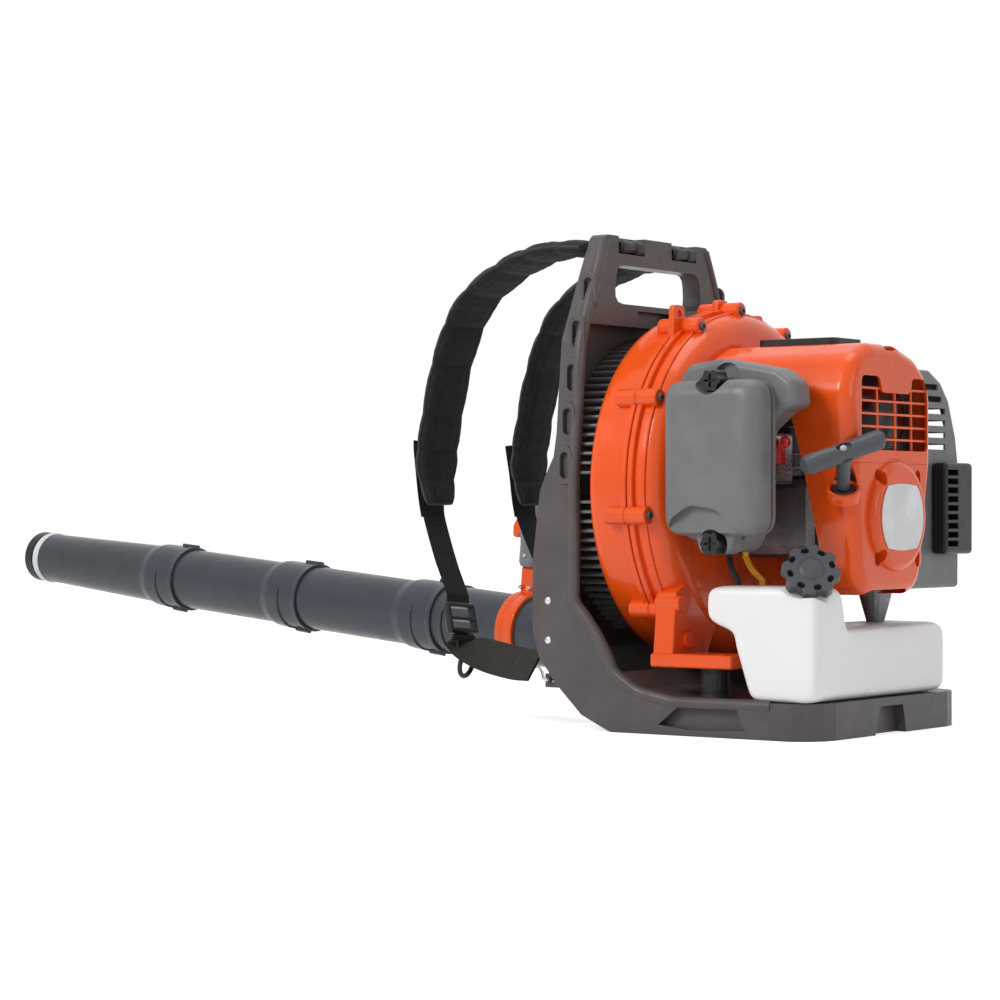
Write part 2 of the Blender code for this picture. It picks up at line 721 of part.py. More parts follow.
def make_fan_housing():
    front = fan_shell("fan_housing_front")
    cut(front, fan_cavity("front_cavity"), duct_bore("front_duct_bore"))
    inlet = cylinder("inlet_cutter", INLET_RADIUS, 0.05, (CRANK_X, SPLIT_Y + 0.01, CRANK_Z), Y_AXIS, 40)
    cut(front, inlet)
    keep(front, fan_half_space("front_half", SPLIT_Y + GAP / 2, 0.2))
    paint(front, "fan_front_orange", ORANGE, 0.25)

    rear = fan_shell("fan_housing_rear")
    bracket = box("bracket_bar", (-AV_X - 0.026, AV_Y - 0.034, BRACKET_Z), (-AV_X + 0.018, 0.024,
                                                                           BRACKET_Z + BRACKET_HEIGHT))
    web = prism("bracket_web", [(-0.145, BRACKET_Z + 0.002), (-0.080, BRACKET_Z + 0.002), (-0.060, 0.110),
                                (-0.118, 0.150), (-0.137, 0.140)], -0.002, 0.022, "Y")
    far_bracket = box("bracket_bar_far", (AV_X - 0.024, AV_Y - 0.020, BRACKET_Z),
                      (AV_X + 0.014, 0.024, BRACKET_Z + BRACKET_HEIGHT))
    far_web = prism("bracket_web_far", [(0.096, BRACKET_Z + 0.002), (0.112, BRACKET_Z + 0.002), (0.113, 0.125),
                                        (0.104, 0.135), (0.080, 0.120)], -0.002, 0.022, "Y")
    join(rear, bracket, web, far_bracket, far_web)
    cut(rear, fan_cavity("rear_cavity"), duct_bore("rear_duct_bore"))
    shaft_hole = cylinder("fan_shaft_hole", SHAFT_RADIUS + 0.002, 0.04, (CRANK_X, -0.02, CRANK_Z), Y_AXIS, 16)
    cut(rear, shaft_hole)
    keep(rear, fan_half_space("rear_half", -0.2, SPLIT_Y - GAP / 2))
    paint(rear, "fan_rear_orange", ORANGE, 0.25)


def make_impeller():
    centre = Vector((CRANK_X, 0, CRANK_Z))
    bore = SHAFT_RADIUS + GAP
    back = FAN_REAR_Y + WALL + 0.008
    plate = [(bore, back), (IMPELLER_RADIUS, back), (IMPELLER_RADIUS, back + 0.002), (0.024, back + 0.004),
             (0.014, back + 0.034), (bore, back + 0.034)]
    impeller = turned("impeller", plate, 32, centre, Y_AXIS, ring=True)
    for i in range(IMPELLER_BLADES):
        angle = math.tau * i / IMPELLER_BLADES
        path = []
        for k in range(4):
            r = 0.022 + (IMPELLER_RADIUS - 0.025) * k / 3
            bend = angle - 0.55 * (k / 3) ** 1.5
            path.append(centre + Vector((math.cos(bend) * r, back + 0.0245, math.sin(bend) * r)))
        join(impeller, ribbon(f"blade_{i}", path, 0.047, 0.002, Y_AXIS))
    return paint(impeller, "impeller_plastic", BLACK, 0.5)


def make_intake_guard():
    """A cage of bars between the frame's back panel and the fan inlet."""
    centre = Vector((GUARD_X, 0, FAN_Z))
    ring_y = FAN_FRONT_Y + 0.0005
    guard = pipe("intake_guard", GUARD_RADIUS + 0.003, GUARD_RADIUS - 0.004, 0.003, centre + Y_AXIS * ring_y,
                 Y_AXIS, GUARD_SLATS)
    reach = BACK_FRONT_Y - FRAME_WALL - GAP
    for i in range(GUARD_SLATS):
        angle = math.tau * (i + 0.5) / GUARD_SLATS
        out = Vector((math.cos(angle), 0, math.sin(angle)))
        place = centre + out * (GUARD_RADIUS - 0.0005)
        if abs(place.x) > frame_half_width(place.z) - FRAME_WALL - 0.004 or place.z < 0.10:
            continue
        slat = box(f"slat_{i}", (-0.0022, -0.0014, 0), (0.0022, 0.0014, reach - ring_y - 0.001))
        slat.matrix_world = aim(place + Y_AXIS * (ring_y + 0.001), Y_AXIS, out)
        join(guard, slat)
    return paint(guard, "guard_plastic", BLACK, 0.45)


def make_av_mounts():
    profile_height = BRACKET_Z - BASE_HEIGHT - 2 * GAP
    for name, x in (("av_mount_left", -AV_X), ("av_mount_right", AV_X)):
        base = Vector((x, AV_Y, BASE_HEIGHT + GAP))
        r, h = AV_RADIUS, profile_height
        profile = [(0, 0), (r, 0), (r, 0.002), (r - 0.0012, 0.0035), (r - 0.0012, h - 0.0035), (r, h - 0.002),
                   (r, h), (0, h)]
        paint(turned(name, profile, 20, base, Z_AXIS), "av_rubber", BLACK, 0.6)


# ---------------------------------------------------------------- engine


def make_crankcase():
    """The case, with its journals, the bore under the barrel, and the rest that sits on the tank."""
    case = box("crankcase", (CASE_LEFT_X, CASE_REAR_Y, CASE_BOTTOM_Z),
               (CASE_RIGHT_X, FAN_REAR_Y - GAP, CASE_TOP_Z), rounding=0.012)
    lug = box("case_lug", (REST_X - 0.016, REST_Y - 0.012, REST_TOP_Z - 0.006),
              (REST_X + 0.016, CASE_REAR_Y + 0.02, REST_TOP_Z + 0.004))
    arm = box("case_arm", (REST_X - 0.016, CASE_REAR_Y + 0.004, REST_TOP_Z - 0.005),
              (CASE_RIGHT_X - 0.004, CASE_REAR_Y + 0.018, CASE_BOTTOM_Z + 0.006))
    height = REST_TOP_Z - 0.004 - TANK_TOP_Z - GAP
    rest = turned("case_rest", [(0, 0), (0.009, 0), (0.0165, height * 0.62), (0.0165, height), (0, height)], 16,
                  (REST_X, REST_Y, TANK_TOP_Z + GAP), Z_AXIS, phase=0.043)
    join(case, lug, arm, rest)
    length = FAN_REAR_Y - CASE_REAR_Y
    chamber = cylinder("crank_chamber", CASE_BORE, length - 2 * CASE_WALL, (CRANK_X, CASE_REAR_Y + CASE_WALL, CRANK_Z),
                       Y_AXIS, 26)
    journals = cylinder("journals", SHAFT_RADIUS + JOURNAL_GAP, length + 0.02, (CRANK_X, CASE_REAR_Y - 0.01, CRANK_Z),
                        Y_AXIS, 18)
    throat = cylinder("case_throat", BORE_RADIUS + 0.001, 0.08, (CRANK_X, BARREL_Y, CRANK_Z), Z_AXIS, 26)
    cut(case, chamber, journals, throat)
    return paint(case, "case_aluminium", (0.08, 0.08, 0.085), 0.5, 0.6)


def make_cylinder():
    z = CASE_TOP_Z + GAP
    height = BARREL_TOP_Z - z
    pitch = height / (FIN_COUNT + 0.5)
    profile = [(BORE_RADIUS, 0), (BARREL_RADIUS, 0)]
    for i in range(FIN_COUNT):
        foot = (i + 0.5) * pitch
        profile += [(BARREL_RADIUS, foot), (FIN_RADIUS, foot), (FIN_RADIUS, foot + 0.003),
                    (BARREL_RADIUS, foot + 0.003)]
    hole = 0.0055
    top = height
    roof = PISTON_TOP_Z + 0.0015 - z
    profile += [(BARREL_RADIUS, top), (hole, top), (hole, roof), (BORE_RADIUS, roof)]
    barrel = turned("cylinder", profile, 20, (CRANK_X, BARREL_Y, z), Z_AXIS, ring=True)
    return paint(barrel, "cylinder_aluminium", (0.14, 0.14, 0.15), 0.5, 0.7)


PISTON_BOTTOM_Z = CRANK_Z + WEB_RADIUS + 0.002
PISTON_TOP_Z = PISTON_BOTTOM_Z + PISTON_HEIGHT + STROKE


def make_piston():
    """The piston at the bottom of its stroke, hollow below, with a ring groove."""
    r = BORE_RADIUS - 0.0004
    h = PISTON_HEIGHT
    profile = [(0, h), (r, h), (r, h - 0.003), (r - 0.001, h - 0.003), (r - 0.001, h - 0.0045), (r, h - 0.0045),
               (r, 0), (r - 0.003, 0), (r - 0.003, h - 0.006), (0, h - 0.006)]
    piston = turned("piston", profile, 20, (CRANK_X, BARREL_Y, PISTON_BOTTOM_Z), Z_AXIS)
    return paint(piston, "piston_aluminium", ALUMINIUM, 0.3, 1.0)


def make_crankshaft():
    """Shaft, two webs and the crank pin, in one piece."""
    rear = FLYWHEEL_Y - 0.006
    front = FAN_FRONT_Y - 0.042
    shaft = cylinder("crankshaft", SHAFT_RADIUS, front - rear, (CRANK_X, rear, CRANK_Z), Y_AXIS, 16)
    for i, y in enumerate((BARREL_Y - 0.020, BARREL_Y + 0.012)):
        join(shaft, cylinder(f"crank_web_{i}", WEB_RADIUS, 0.008, (CRANK_X, y, CRANK_Z), Y_AXIS, 28))
    join(shaft, cylinder("crank_pin", SHAFT_RADIUS, 0.036, (CRANK_X, BARREL_Y - 0.018, CRANK_Z - STROKE / 2),
                         Y_AXIS, 14))
    relief = box("crank_relief", (CRANK_X - 0.03, BARREL_Y - 0.0119, CRANK_Z - STROKE / 2 + SHAFT_RADIUS + 0.0005),
                 (CRANK_X + 0.03, BARREL_Y + 0.0119, CRANK_Z + 0.03))
    cut(shaft, relief)
    return paint(shaft, "crank_steel", STEEL, 0.25, 1.0)


def make_flywheel():
    r, w = FLYWHEEL_RADIUS, FLYWHEEL_WIDTH
    bore = SHAFT_RADIUS + GAP
    profile = [(bore, 0), (r, 0), (r, w), (r - 0.006, w), (r - 0.006, 0.005), (0.014, 0.005), (0.014, w),
               (bore, w)]
    wheel = turned("flywheel", profile, 24, (CRANK_X, FLYWHEEL_Y, CRANK_Z), Y_AXIS, ring=True)
    return paint(wheel, "flywheel_aluminium", ALUMINIUM, 0.35, 1.0)


def make_spark_plug():
    base = Vector((CRANK_X, BARREL_Y, PISTON_TOP_Z + 0.004))
    top = HOOD_TOP_Z - 0.010 - base.z
    seat = BARREL_TOP_Z + GAP - base.z
    profile = [(0, 0), (0.005, 0), (0.005, seat), (PLUG_RADIUS, seat), (PLUG_RADIUS, seat + 0.006),
               (0.0065, seat + 0.008), (0.0075, top - 0.004), (0.005, top), (0, top)]
    return paint(turned("spark_plug", profile, 14, base, Z_AXIS), "plug_boot", BLACK, 0.4)


# ---------------------------------------------------------------- hood and starter


def hood_outline(offset):
    """The hood seen from behind, as (x, z), inset by an offset."""
    t = offset
    points = [(-0.070 + t, HOOD_BOTTOM_Z), (-0.080 + t, HOOD_SPLIT_Z), (-0.090 + t, 0.338), (-0.076 + t, 0.372 - t),
              (-0.040, HOOD_TOP_Z - t), (0.012, HOOD_TOP_Z - t), (0.050 - t, 0.376 - t), (0.072 - t, 0.361 - t),
              (0.084 - t, 0.338 - t), (0.084 - t, HOOD_SPLIT_Z), (0.060 - t, HOOD_BOTTOM_Z)]
    return points


def hood_shell(name):
    """The whole hood, with its side openings, before it is parted into cowl and starter housing."""
    shell = prism(name, hood_outline(0), HOOD_REAR_Y, 0.030, "Y", rounding=HOOD_EDGE, segments=3)
    inner_outline = hood_outline(WALL)
    inner_outline[0] = (inner_outline[0][0], HOOD_BOTTOM_Z - 0.02)
    inner_outline[-1] = (inner_outline[-1][0], HOOD_BOTTOM_Z - 0.02)
    inner = prism(name + "_inner", inner_outline, HOOD_REAR_Y + WALL, 0.050, "Y", rounding=HOOD_EDGE - WALL,
                  segments=3)
    front_cut = box(name + "_front", (-0.2, FAN_REAR_Y - GAP, 0), (0.2, 0.1, 0.5))
    left = prism(name + "_left_bay", [(0.05, 0.12), (-0.140, 0.12), (-0.104, 0.315), (-0.090, 0.333), (0.05, 0.333)],
                 -0.12, -0.05, "X")
    right = prism(name + "_right_bay", [(0.05, 0.10), (-0.130, 0.10), (-0.130, 0.340), (0.05, 0.340)],
                  0.045, 0.12, "X")
    cut(shell, inner, front_cut, left, right)
    return shell


def starter_arch(name, low, high, grow):
    """The part of the hood that belongs to the starter: all below the split, and the arch over its boss."""
    band = box(name, (-0.2, low, 0.0), (0.2, high, HOOD_SPLIT_Z + grow))
    disc = cylinder(name + "_disc", STARTER_RADIUS + 0.001 + grow, 0.040,
                    (CRANK_X, HOOD_REAR_Y - 0.02, CRANK_Z), Y_AXIS, 40)
    return join(band, disc)


def grille_cutters():
    """The openings between the rear grille's bars and posts."""
    left, right, bottom, top = -0.064, 0.072, 0.281, 0.354
    bar = 0.0035
    columns = (left, -0.022, 0.014, 0.046, right)
    cutters = []
    row = (top - bottom) / (GRILLE_BARS + 1)
    for i in range(GRILLE_BARS + 1):
        for k in range(len(columns) - 1):
            if i == GRILLE_BARS and 0 < k < len(columns) - 2:
                continue
            cutters.append(box(f"grille_{i}_{k}", (columns[k] + bar / 2, HOOD_REAR_Y - 0.01, bottom + i * row + bar / 2),
                               (columns[k + 1] - bar / 2, HOOD_REAR_Y + WALL + 0.004, bottom + (i + 1) * row - bar / 2)))
    return cutters


def make_engine_cowl():
    cowl = hood_shell("engine_cowl")
    cut(cowl, starter_arch("cowl_arch", -0.2, 0.1, GAP), *grille_cutters())
    return paint(cowl, "cowl_orange", ORANGE, 0.22)


def make_cowl_cap():
    low = Vector((-0.030, -0.120, HOOD_TOP_Z + GAP))
    cap = box("cowl_cap", low, (0.030, -0.030, HOOD_TOP_Z + 0.007), rounding=0.003)
    return paint(cap, "cap_plastic", BLACK, 0.5)


def make_starter_housing():
    housing = hood_shell("starter_housing")
    boss_y = HOOD_REAR_Y + 0.002
    boss = turned("starter_boss", [(0, 0), (STARTER_RADIUS, 0), (STARTER_RADIUS, STARTER_PROUD - 0.001),
                                   (STARTER_RADIUS - 0.003, STARTER_PROUD + 0.002), (0, STARTER_PROUD + 0.002)],
                  40, (CRANK_X, boss_y, CRANK_Z), -Y_AXIS)
    post = cylinder("starter_post", POST_RADIUS, -(HOOD_REAR_Y - PULLEY_Y) + PULLEY_WIDTH, (CRANK_X, boss_y, CRANK_Z),
                    Y_AXIS, 14)
    collar = cylinder("guide_collar", GUIDE_RADIUS + 0.004, 0.012, pull_point(-0.008), PULL_DIRECTION, 20)
    hole = cylinder("guide_hole", GUIDE_RADIUS + GAP, 0.060, pull_point(-0.0045), PULL_DIRECTION, 20)
    rope_way = cylinder("rope_way", 0.005, 0.03, pull_point(-0.025), PULL_DIRECTION, 12)
    keep(housing, starter_arch("starter_part", -0.2, 0.1, 0.0))
    join(housing, boss, post, collar)
    cut(housing, hole, rope_way)
    for i, (sx, sz) in enumerate(((-1, -1), (1, -1), (-1, 1), (1, 1))):
        place = (CRANK_X + sx * SCREW_SPREAD, HOOD_REAR_Y + 0.0005, CRANK_Z + sz * (SCREW_SPREAD - 0.003))
        cut(housing, cylinder(f"screw_recess_{i}", 0.0055, 0.02, place, -Y_AXIS, 12))
    return paint(housing, "starter_orange", ORANGE, 0.22)


def pull_point(along):
    return Vector((PULL_X, PULL_Y, PULL_Z)) + PULL_DIRECTION * along


def make_starter():
    badge = prism("starter_badge", [(CRANK_X + 0.040 * math.cos(math.tau * i / 28),
                                     CRANK_Z + 0.028 * math.sin(math.tau * i / 28)) for i in range(28)],
                  HOOD_REAR_Y - STARTER_PROUD - GAP - 0.0012, HOOD_REAR_Y - STARTER_PROUD - GAP, "Y")
    paint(badge, "badge_white", (0.85, 0.86, 0.88), 0.3)

    w, r = PULLEY_WIDTH, PULLEY_RADIUS
    bore = POST_RADIUS + GAP
    profile = [(bore, 0), (r, 0), (r, 0.0015), (r - 0.004, 0.003), (r - 0.004, w - 0.003), (r, w - 0.0015), (r, w),
               (bore, w)]
    pulley = turned("starter_pulley", profile, 24, (CRANK_X, PULLEY_Y, CRANK_Z), Y_AXIS, ring=True)
    paint(pulley, "pulley_plastic", BLACK, 0.4)

    eye = around(ROPE_RADIUS, 20)
    guide = turned("rope_guide", [(eye, -0.004), (GUIDE_RADIUS, -0.004), (GUIDE_RADIUS, 0.002),
                                  (GUIDE_RADIUS - 0.001, GUIDE_TOP), (eye + 0.001, GUIDE_TOP), (eye, 0.003)], 20,
                   pull_point(0), PULL_DIRECTION, ring=True)
    paint(guide, "guide_plastic", BLACK, 0.4)

    rope = swept("starter_rope", [pull_point(-0.012), pull_point(GUIDE_TOP)], ROPE_RADIUS, 1)
    rope.data.transform(Matrix.Translation(-pull_point(0)))
    rope.location = pull_point(0)
    paint(rope, "rope_fibre", (0.75, 0.75, 0.72), 0.8)
    make_grip()


def make_grip():
    """The T grip: a bar with a short stem that the rope goes up into."""
    middle = pull_point(GRIP_RISE)
    half = GRIP_LENGTH / 2
    r = GRIP_RADIUS
    profile = [(0, -half), (r * 0.8, -half), (r, -half + 0.003), (r, half - 0.003), (r * 0.8, half), (0, half)]
    grip = turned("starter_grip", profile, 16, middle, GRIP_DIRECTION, PULL_DIRECTION)
    foot = -(GRIP_RISE - GUIDE_TOP - GAP)
    stem = turned("grip_stem", [(0, foot), (0.0050, foot), (0.0058, foot + 0.010), (0.0075, 0), (0, 0)], 14, middle,
                  PULL_DIRECTION)
    join(grip, stem)
    return paint(grip, "grip_plastic", (0.10, 0.105, 0.115), 0.35)


# ---------------------------------------------------------------- air filter and carburettor


def make_filter():
    left, seat = FILTER_FACE_X, FILTER_SEAT_X
    rear, front, bottom, top = FILTER_REAR_Y, FILTER_FRONT_Y, FILTER_BOTTOM_Z, FILTER_TOP_Z
    rim = FILTER_RIM
    origin = Vector((seat, (rear + front) / 2, (bottom + top) / 2))
    body = fillet([(rear, bottom), (front, bottom), (front, top), (rear, top)], 0.016)
    cover = prism("filter_cover", body, left, seat - GAP, "X", origin=origin, rounding=0.010, segments=3)
    edge = fillet([(rear - rim, bottom - rim + 0.002), (front + 0.003, bottom - rim + 0.002),
                   (front + 0.003, top + rim), (rear - rim, top + rim)], 0.018)
    plate = prism("filter_rim", edge, seat - 0.006, seat - GAP, "X")
    lobe = prism("filter_lobe", fillet([(KNOB_Y - 0.018, KNOB_BOTTOM_Z - 0.010), (KNOB_Y + 0.018, KNOB_BOTTOM_Z - 0.010),
                                        (KNOB_Y + 0.026, bottom + 0.01), (KNOB_Y - 0.026, bottom + 0.01)], 0.010),
                 left + 0.014, seat - GAP, "X")
    trim = prism("filter_trim", edge, left - 0.05, seat - GAP, "X")
    keep(cover, trim)
    join(cover, plate, lobe)
    inner = fillet([(rear + WALL, bottom + WALL + 0.006), (front - WALL, bottom + WALL + 0.006),
                    (front - WALL, top - WALL - 0.012), (rear + WALL, top - WALL - 0.012)], 0.012)
    cut(cover, prism("filter_cavity", inner, left + WALL, seat + 0.01, "X", rounding=0.006))
    for name, z in (("top", KNOB_TOP_Z), ("bottom", KNOB_BOTTOM_Z)):
        cut(cover, cylinder(f"knob_well_{name}", KNOB_RADIUS + 0.0025, 0.060, (seat - 0.007, KNOB_Y, z), -X_AXIS, 20),
            cylinder(f"knob_hole_{name}", KNOB_STEM + GAP, 0.020, (seat + 0.005, KNOB_Y, z), -X_AXIS, 12))
    paint(cover, "filter_cover_grey", COVER_GREY, 0.35)

    element = box("filter_element", (left + WALL + 0.006, rear + WALL + 0.006, bottom + 0.016),
                  (seat - GAP, front - WALL - 0.006, top - 0.022))
    paint(element, "filter_paper", (0.60, 0.52, 0.35), 0.9)
    for name, z in (("filter_knob_top", KNOB_TOP_Z), ("filter_knob_bottom", KNOB_BOTTOM_Z)):
        make_knob(name, z)


def make_knob(name, z):
    """A star knob on its screw, which holds the filter cover to its base."""
    r = KNOB_RADIUS
    origin = Vector((FILTER_SEAT_X - 0.0075, KNOB_Y, z))
    star = []
    for i in range(20):
        angle = math.tau * i / 20
        reach = r if i % 4 in (0, 1) else r * 0.80
        star.append((KNOB_Y + reach * math.cos(angle), z + reach * math.sin(angle)))
    face = FILTER_FACE_X + 0.012
    knob = prism(name, star, face - 0.006, origin.x, "X", origin=origin)
    join(knob, cylinder(name + "_stem", KNOB_STEM, 0.0085 - GAP + 0.002, (FILTER_SEAT_X - GAP, KNOB_Y, z), -X_AXIS, 10))
    return paint(knob, "knob_plastic", BLACK, 0.4)


def make_filter_base():
    """The intake housing behind the filter, with its arm over the engine bay."""
    outline = [(FILTER_FRONT_Y + 0.002, 0.352), (-0.018, 0.366), (-0.055, 0.370), (-0.118, 0.359), (-0.137, 0.346),
               (-0.140, 0.322), (-0.125, 0.317), (-0.104, 0.300), (-0.094, 0.283), (-0.094, 0.205),
               (-0.080, 0.181), (-0.046, 0.181), (-0.030, 0.190), (FILTER_FRONT_Y, 0.196)]
    base = prism("filter_base", fillet(outline, 0.010, 2), FILTER_SEAT_X, FILTER_BACK_X, "X", rounding=0.004)
    pocket = fillet([(-0.086, 0.212), (-0.020, 0.212), (-0.020, 0.338), (-0.086, 0.338)], 0.010, 2)
    cut(base, prism("base_pocket", pocket, FILTER_SEAT_X - 0.01, FILTER_BACK_X - 0.003, "X"))
    cut(base, cylinder("intake_port", 0.012, 0.08, (FILTER_SEAT_X - 0.02, -0.058, CHOKE_Z), X_AXIS, 20))
    return paint(base, "filter_base_grey", COVER_GREY, 0.35)


def make_carburettor():
    right = CRANK_X - FIN_RADIUS - GAP
    body = box("carburettor", (FILTER_BACK_X + GAP, CARB_REAR_Y, CARB_BOTTOM_Z),
               (FILTER_BACK_X + 0.050, CARB_FRONT_Y, CARB_TOP_Z), rounding=0.003)
    neck = cylinder("intake_neck", 0.0145, right - (FILTER_BACK_X + 0.045), (FILTER_BACK_X + 0.045, -0.058, CHOKE_Z),
                    X_AXIS, 16)
    join(body, neck)
    cut(body, cylinder("carb_throat", 0.010, 0.2, (FILTER_BACK_X - 0.05, -0.058, CHOKE_Z), X_AXIS, 16))
    paint(body, "carb_aluminium", ALUMINIUM, 0.4, 0.9)

    origin = Vector((CHOKE_X, CARB_REAR_Y - GAP, CHOKE_Z))
    lever = box("choke_lever", (CHOKE_X - 0.004, CARB_REAR_Y - 0.0045, CHOKE_Z - 0.006),
                (CHOKE_X + 0.004, CARB_REAR_Y - GAP, CHOKE_Z + 0.016), origin=origin)
    bm = bmesh.new()
    bmesh.ops.create_uvsphere(bm, u_segments=14, v_segments=8, radius=0.006)
    ball = from_bmesh("choke_ball", bm, origin=Vector((CHOKE_X - 0.002, CARB_REAR_Y - 0.007, CHOKE_Z + 0.016)))
    join(lever, ball)
    paint(lever, "choke_red", (0.75, 0.02, 0.02), 0.35)


def fuel_line(name, top, bottom, color):
    """A hose from under the filter base down onto the tank, straight at both ends."""
    step = Z_AXIS * 0.005
    middle = (top + bottom) / 2 + Vector((-0.003, 0.001, 0))
    path = [top] + curve_through([top - step, middle, bottom + step], 3) + [bottom]
    return paint(swept(name, path, LINE_RADIUS, 1), name + "_rubber", color, 0.4)


def make_fuel_lines():
    top = 0.181 - GAP
    low = TANK_FILLER_TOP_Z + GAP
    fuel_line("return_line", Vector((-0.112, -0.067, top)), Vector((-0.112, -0.086, low)), (0.85, 0.42, 0.02))
    fuel_line("fuel_line", Vector((-0.118, -0.052, top)), Vector((-0.118, -0.062, low)), BLACK)


# ---------------------------------------------------------------- muffler


def shield_outline(t):
    return [(SHIELD_LEFT_X, SHIELD_BOTTOM_Z + t), (SHIELD_RIGHT_X - t, SHIELD_BOTTOM_Z + t),
            (SHIELD_RIGHT_X - t, GUARD_TOP_Z), (SHIELD_RIGHT_X - 0.006 - t, 0.300),
            (SHIELD_RIGHT_X - 0.022 - t, 0.338 - t), (SHIELD_RIGHT_X - 0.040, SHIELD_TOP_Z - 0.012 - t),
            (SHIELD_RIGHT_X - 0.066, SHIELD_TOP_Z - t), (SHIELD_LEFT_X, SHIELD_TOP_Z - t)]


def make_muffler():
    left = CRANK_X + FIN_RADIUS + GAP
    muffler = box("muffler", (left + 0.014, MUFFLER_REAR_Y, MUFFLER_BOTTOM_Z),
                  (MUFFLER_RIGHT_X, MUFFLER_FRONT_Y, MUFFLER_TOP_Z), rounding=0.010)
    join(muffler, cylinder("exhaust_neck", 0.014, 0.030, (left, BARREL_Y, 0.290), X_AXIS, 16))
    cut(muffler, box("muffler_hollow", (left + 0.016, MUFFLER_REAR_Y + 0.002, MUFFLER_BOTTOM_Z + 0.002),
                     (MUFFLER_RIGHT_X - 0.002, MUFFLER_FRONT_Y - 0.002, MUFFLER_TOP_Z - 0.002), rounding=0.008))
    cut(muffler, cylinder("exhaust_port", 0.009, 0.060, (left - 0.01, BARREL_Y, 0.290), X_AXIS, 14))
    paint(muffler, "muffler_steel", (0.12, 0.115, 0.11), 0.5, 0.9)

    front = MUFFLER_FRONT_Y + 0.008
    cover = prism("muffler_cover", shield_outline(0), SHIELD_REAR_Y, front, "Y", rounding=0.004)
    inner = shield_outline(WALL)
    inner[0] = (SHIELD_LEFT_X - 0.02, inner[0][1])
    inner[-1] = (SHIELD_LEFT_X - 0.02, inner[-1][1])
    cut(cover, prism("shield_inner", inner, SHIELD_REAR_Y + WALL, front + 0.02, "Y"))
    ledge = box("shield_ledge", (MUFFLER_RIGHT_X + GAP, MUFFLER_REAR_Y + 0.010, 0.230),
                (SHIELD_RIGHT_X - WALL / 2, MUFFLER_FRONT_Y - 0.010, 0.236))
    join(cover, ledge)
    for i in range(SHIELD_SLOTS):
        z = 0.286 + i * 0.0125
        high = SHIELD_RIGHT_X - 0.032 - max(0, i - 3) * 0.0085
        cut(cover, box(f"shield_slot_{i}", (SHIELD_LEFT_X + 0.020, SHIELD_REAR_Y - 0.01, z),
                       (high, SHIELD_REAR_Y + 0.006, z + 0.006)))
        if i < SHIELD_SIDE_SLOTS:
            wall = SHIELD_RIGHT_X - 0.006 - max(0, i - 1) * 0.0053
            cut(cover, box(f"side_slot_{i}", (wall - 0.010, SHIELD_REAR_Y + 0.012, z),
                           (wall + 0.020, MUFFLER_FRONT_Y - 0.017, z + 0.006)))
    paint(cover, "muffler_cover_grey", COVER_GREY, 0.4)

    low = (GUARD_LEFT_X, SHIELD_REAR_Y - GAP - GUARD_DEPTH, GUARD_BOTTOM_Z)
    guard = box("heat_guard", low, (GUARD_RIGHT_X, SHIELD_REAR_Y - GAP, GUARD_TOP_Z), rounding=0.004)
    for i in range(HEAT_SLOTS):
        z = GUARD_BOTTOM_Z + 0.008 + i * (GUARD_TOP_Z - GUARD_BOTTOM_Z - 0.012) / HEAT_SLOTS
        cut(guard, box(f"heat_slot_{i}", (GUARD_LEFT_X + 0.004, SHIELD_REAR_Y - 0.05, z),
                       (GUARD_RIGHT_X - 0.034, SHIELD_REAR_Y + 0.05, z + 0.006)))
    paint(guard, "heat_guard_black", BLACK, 0.45)


# ---------------------------------------------------------------- fuel tank


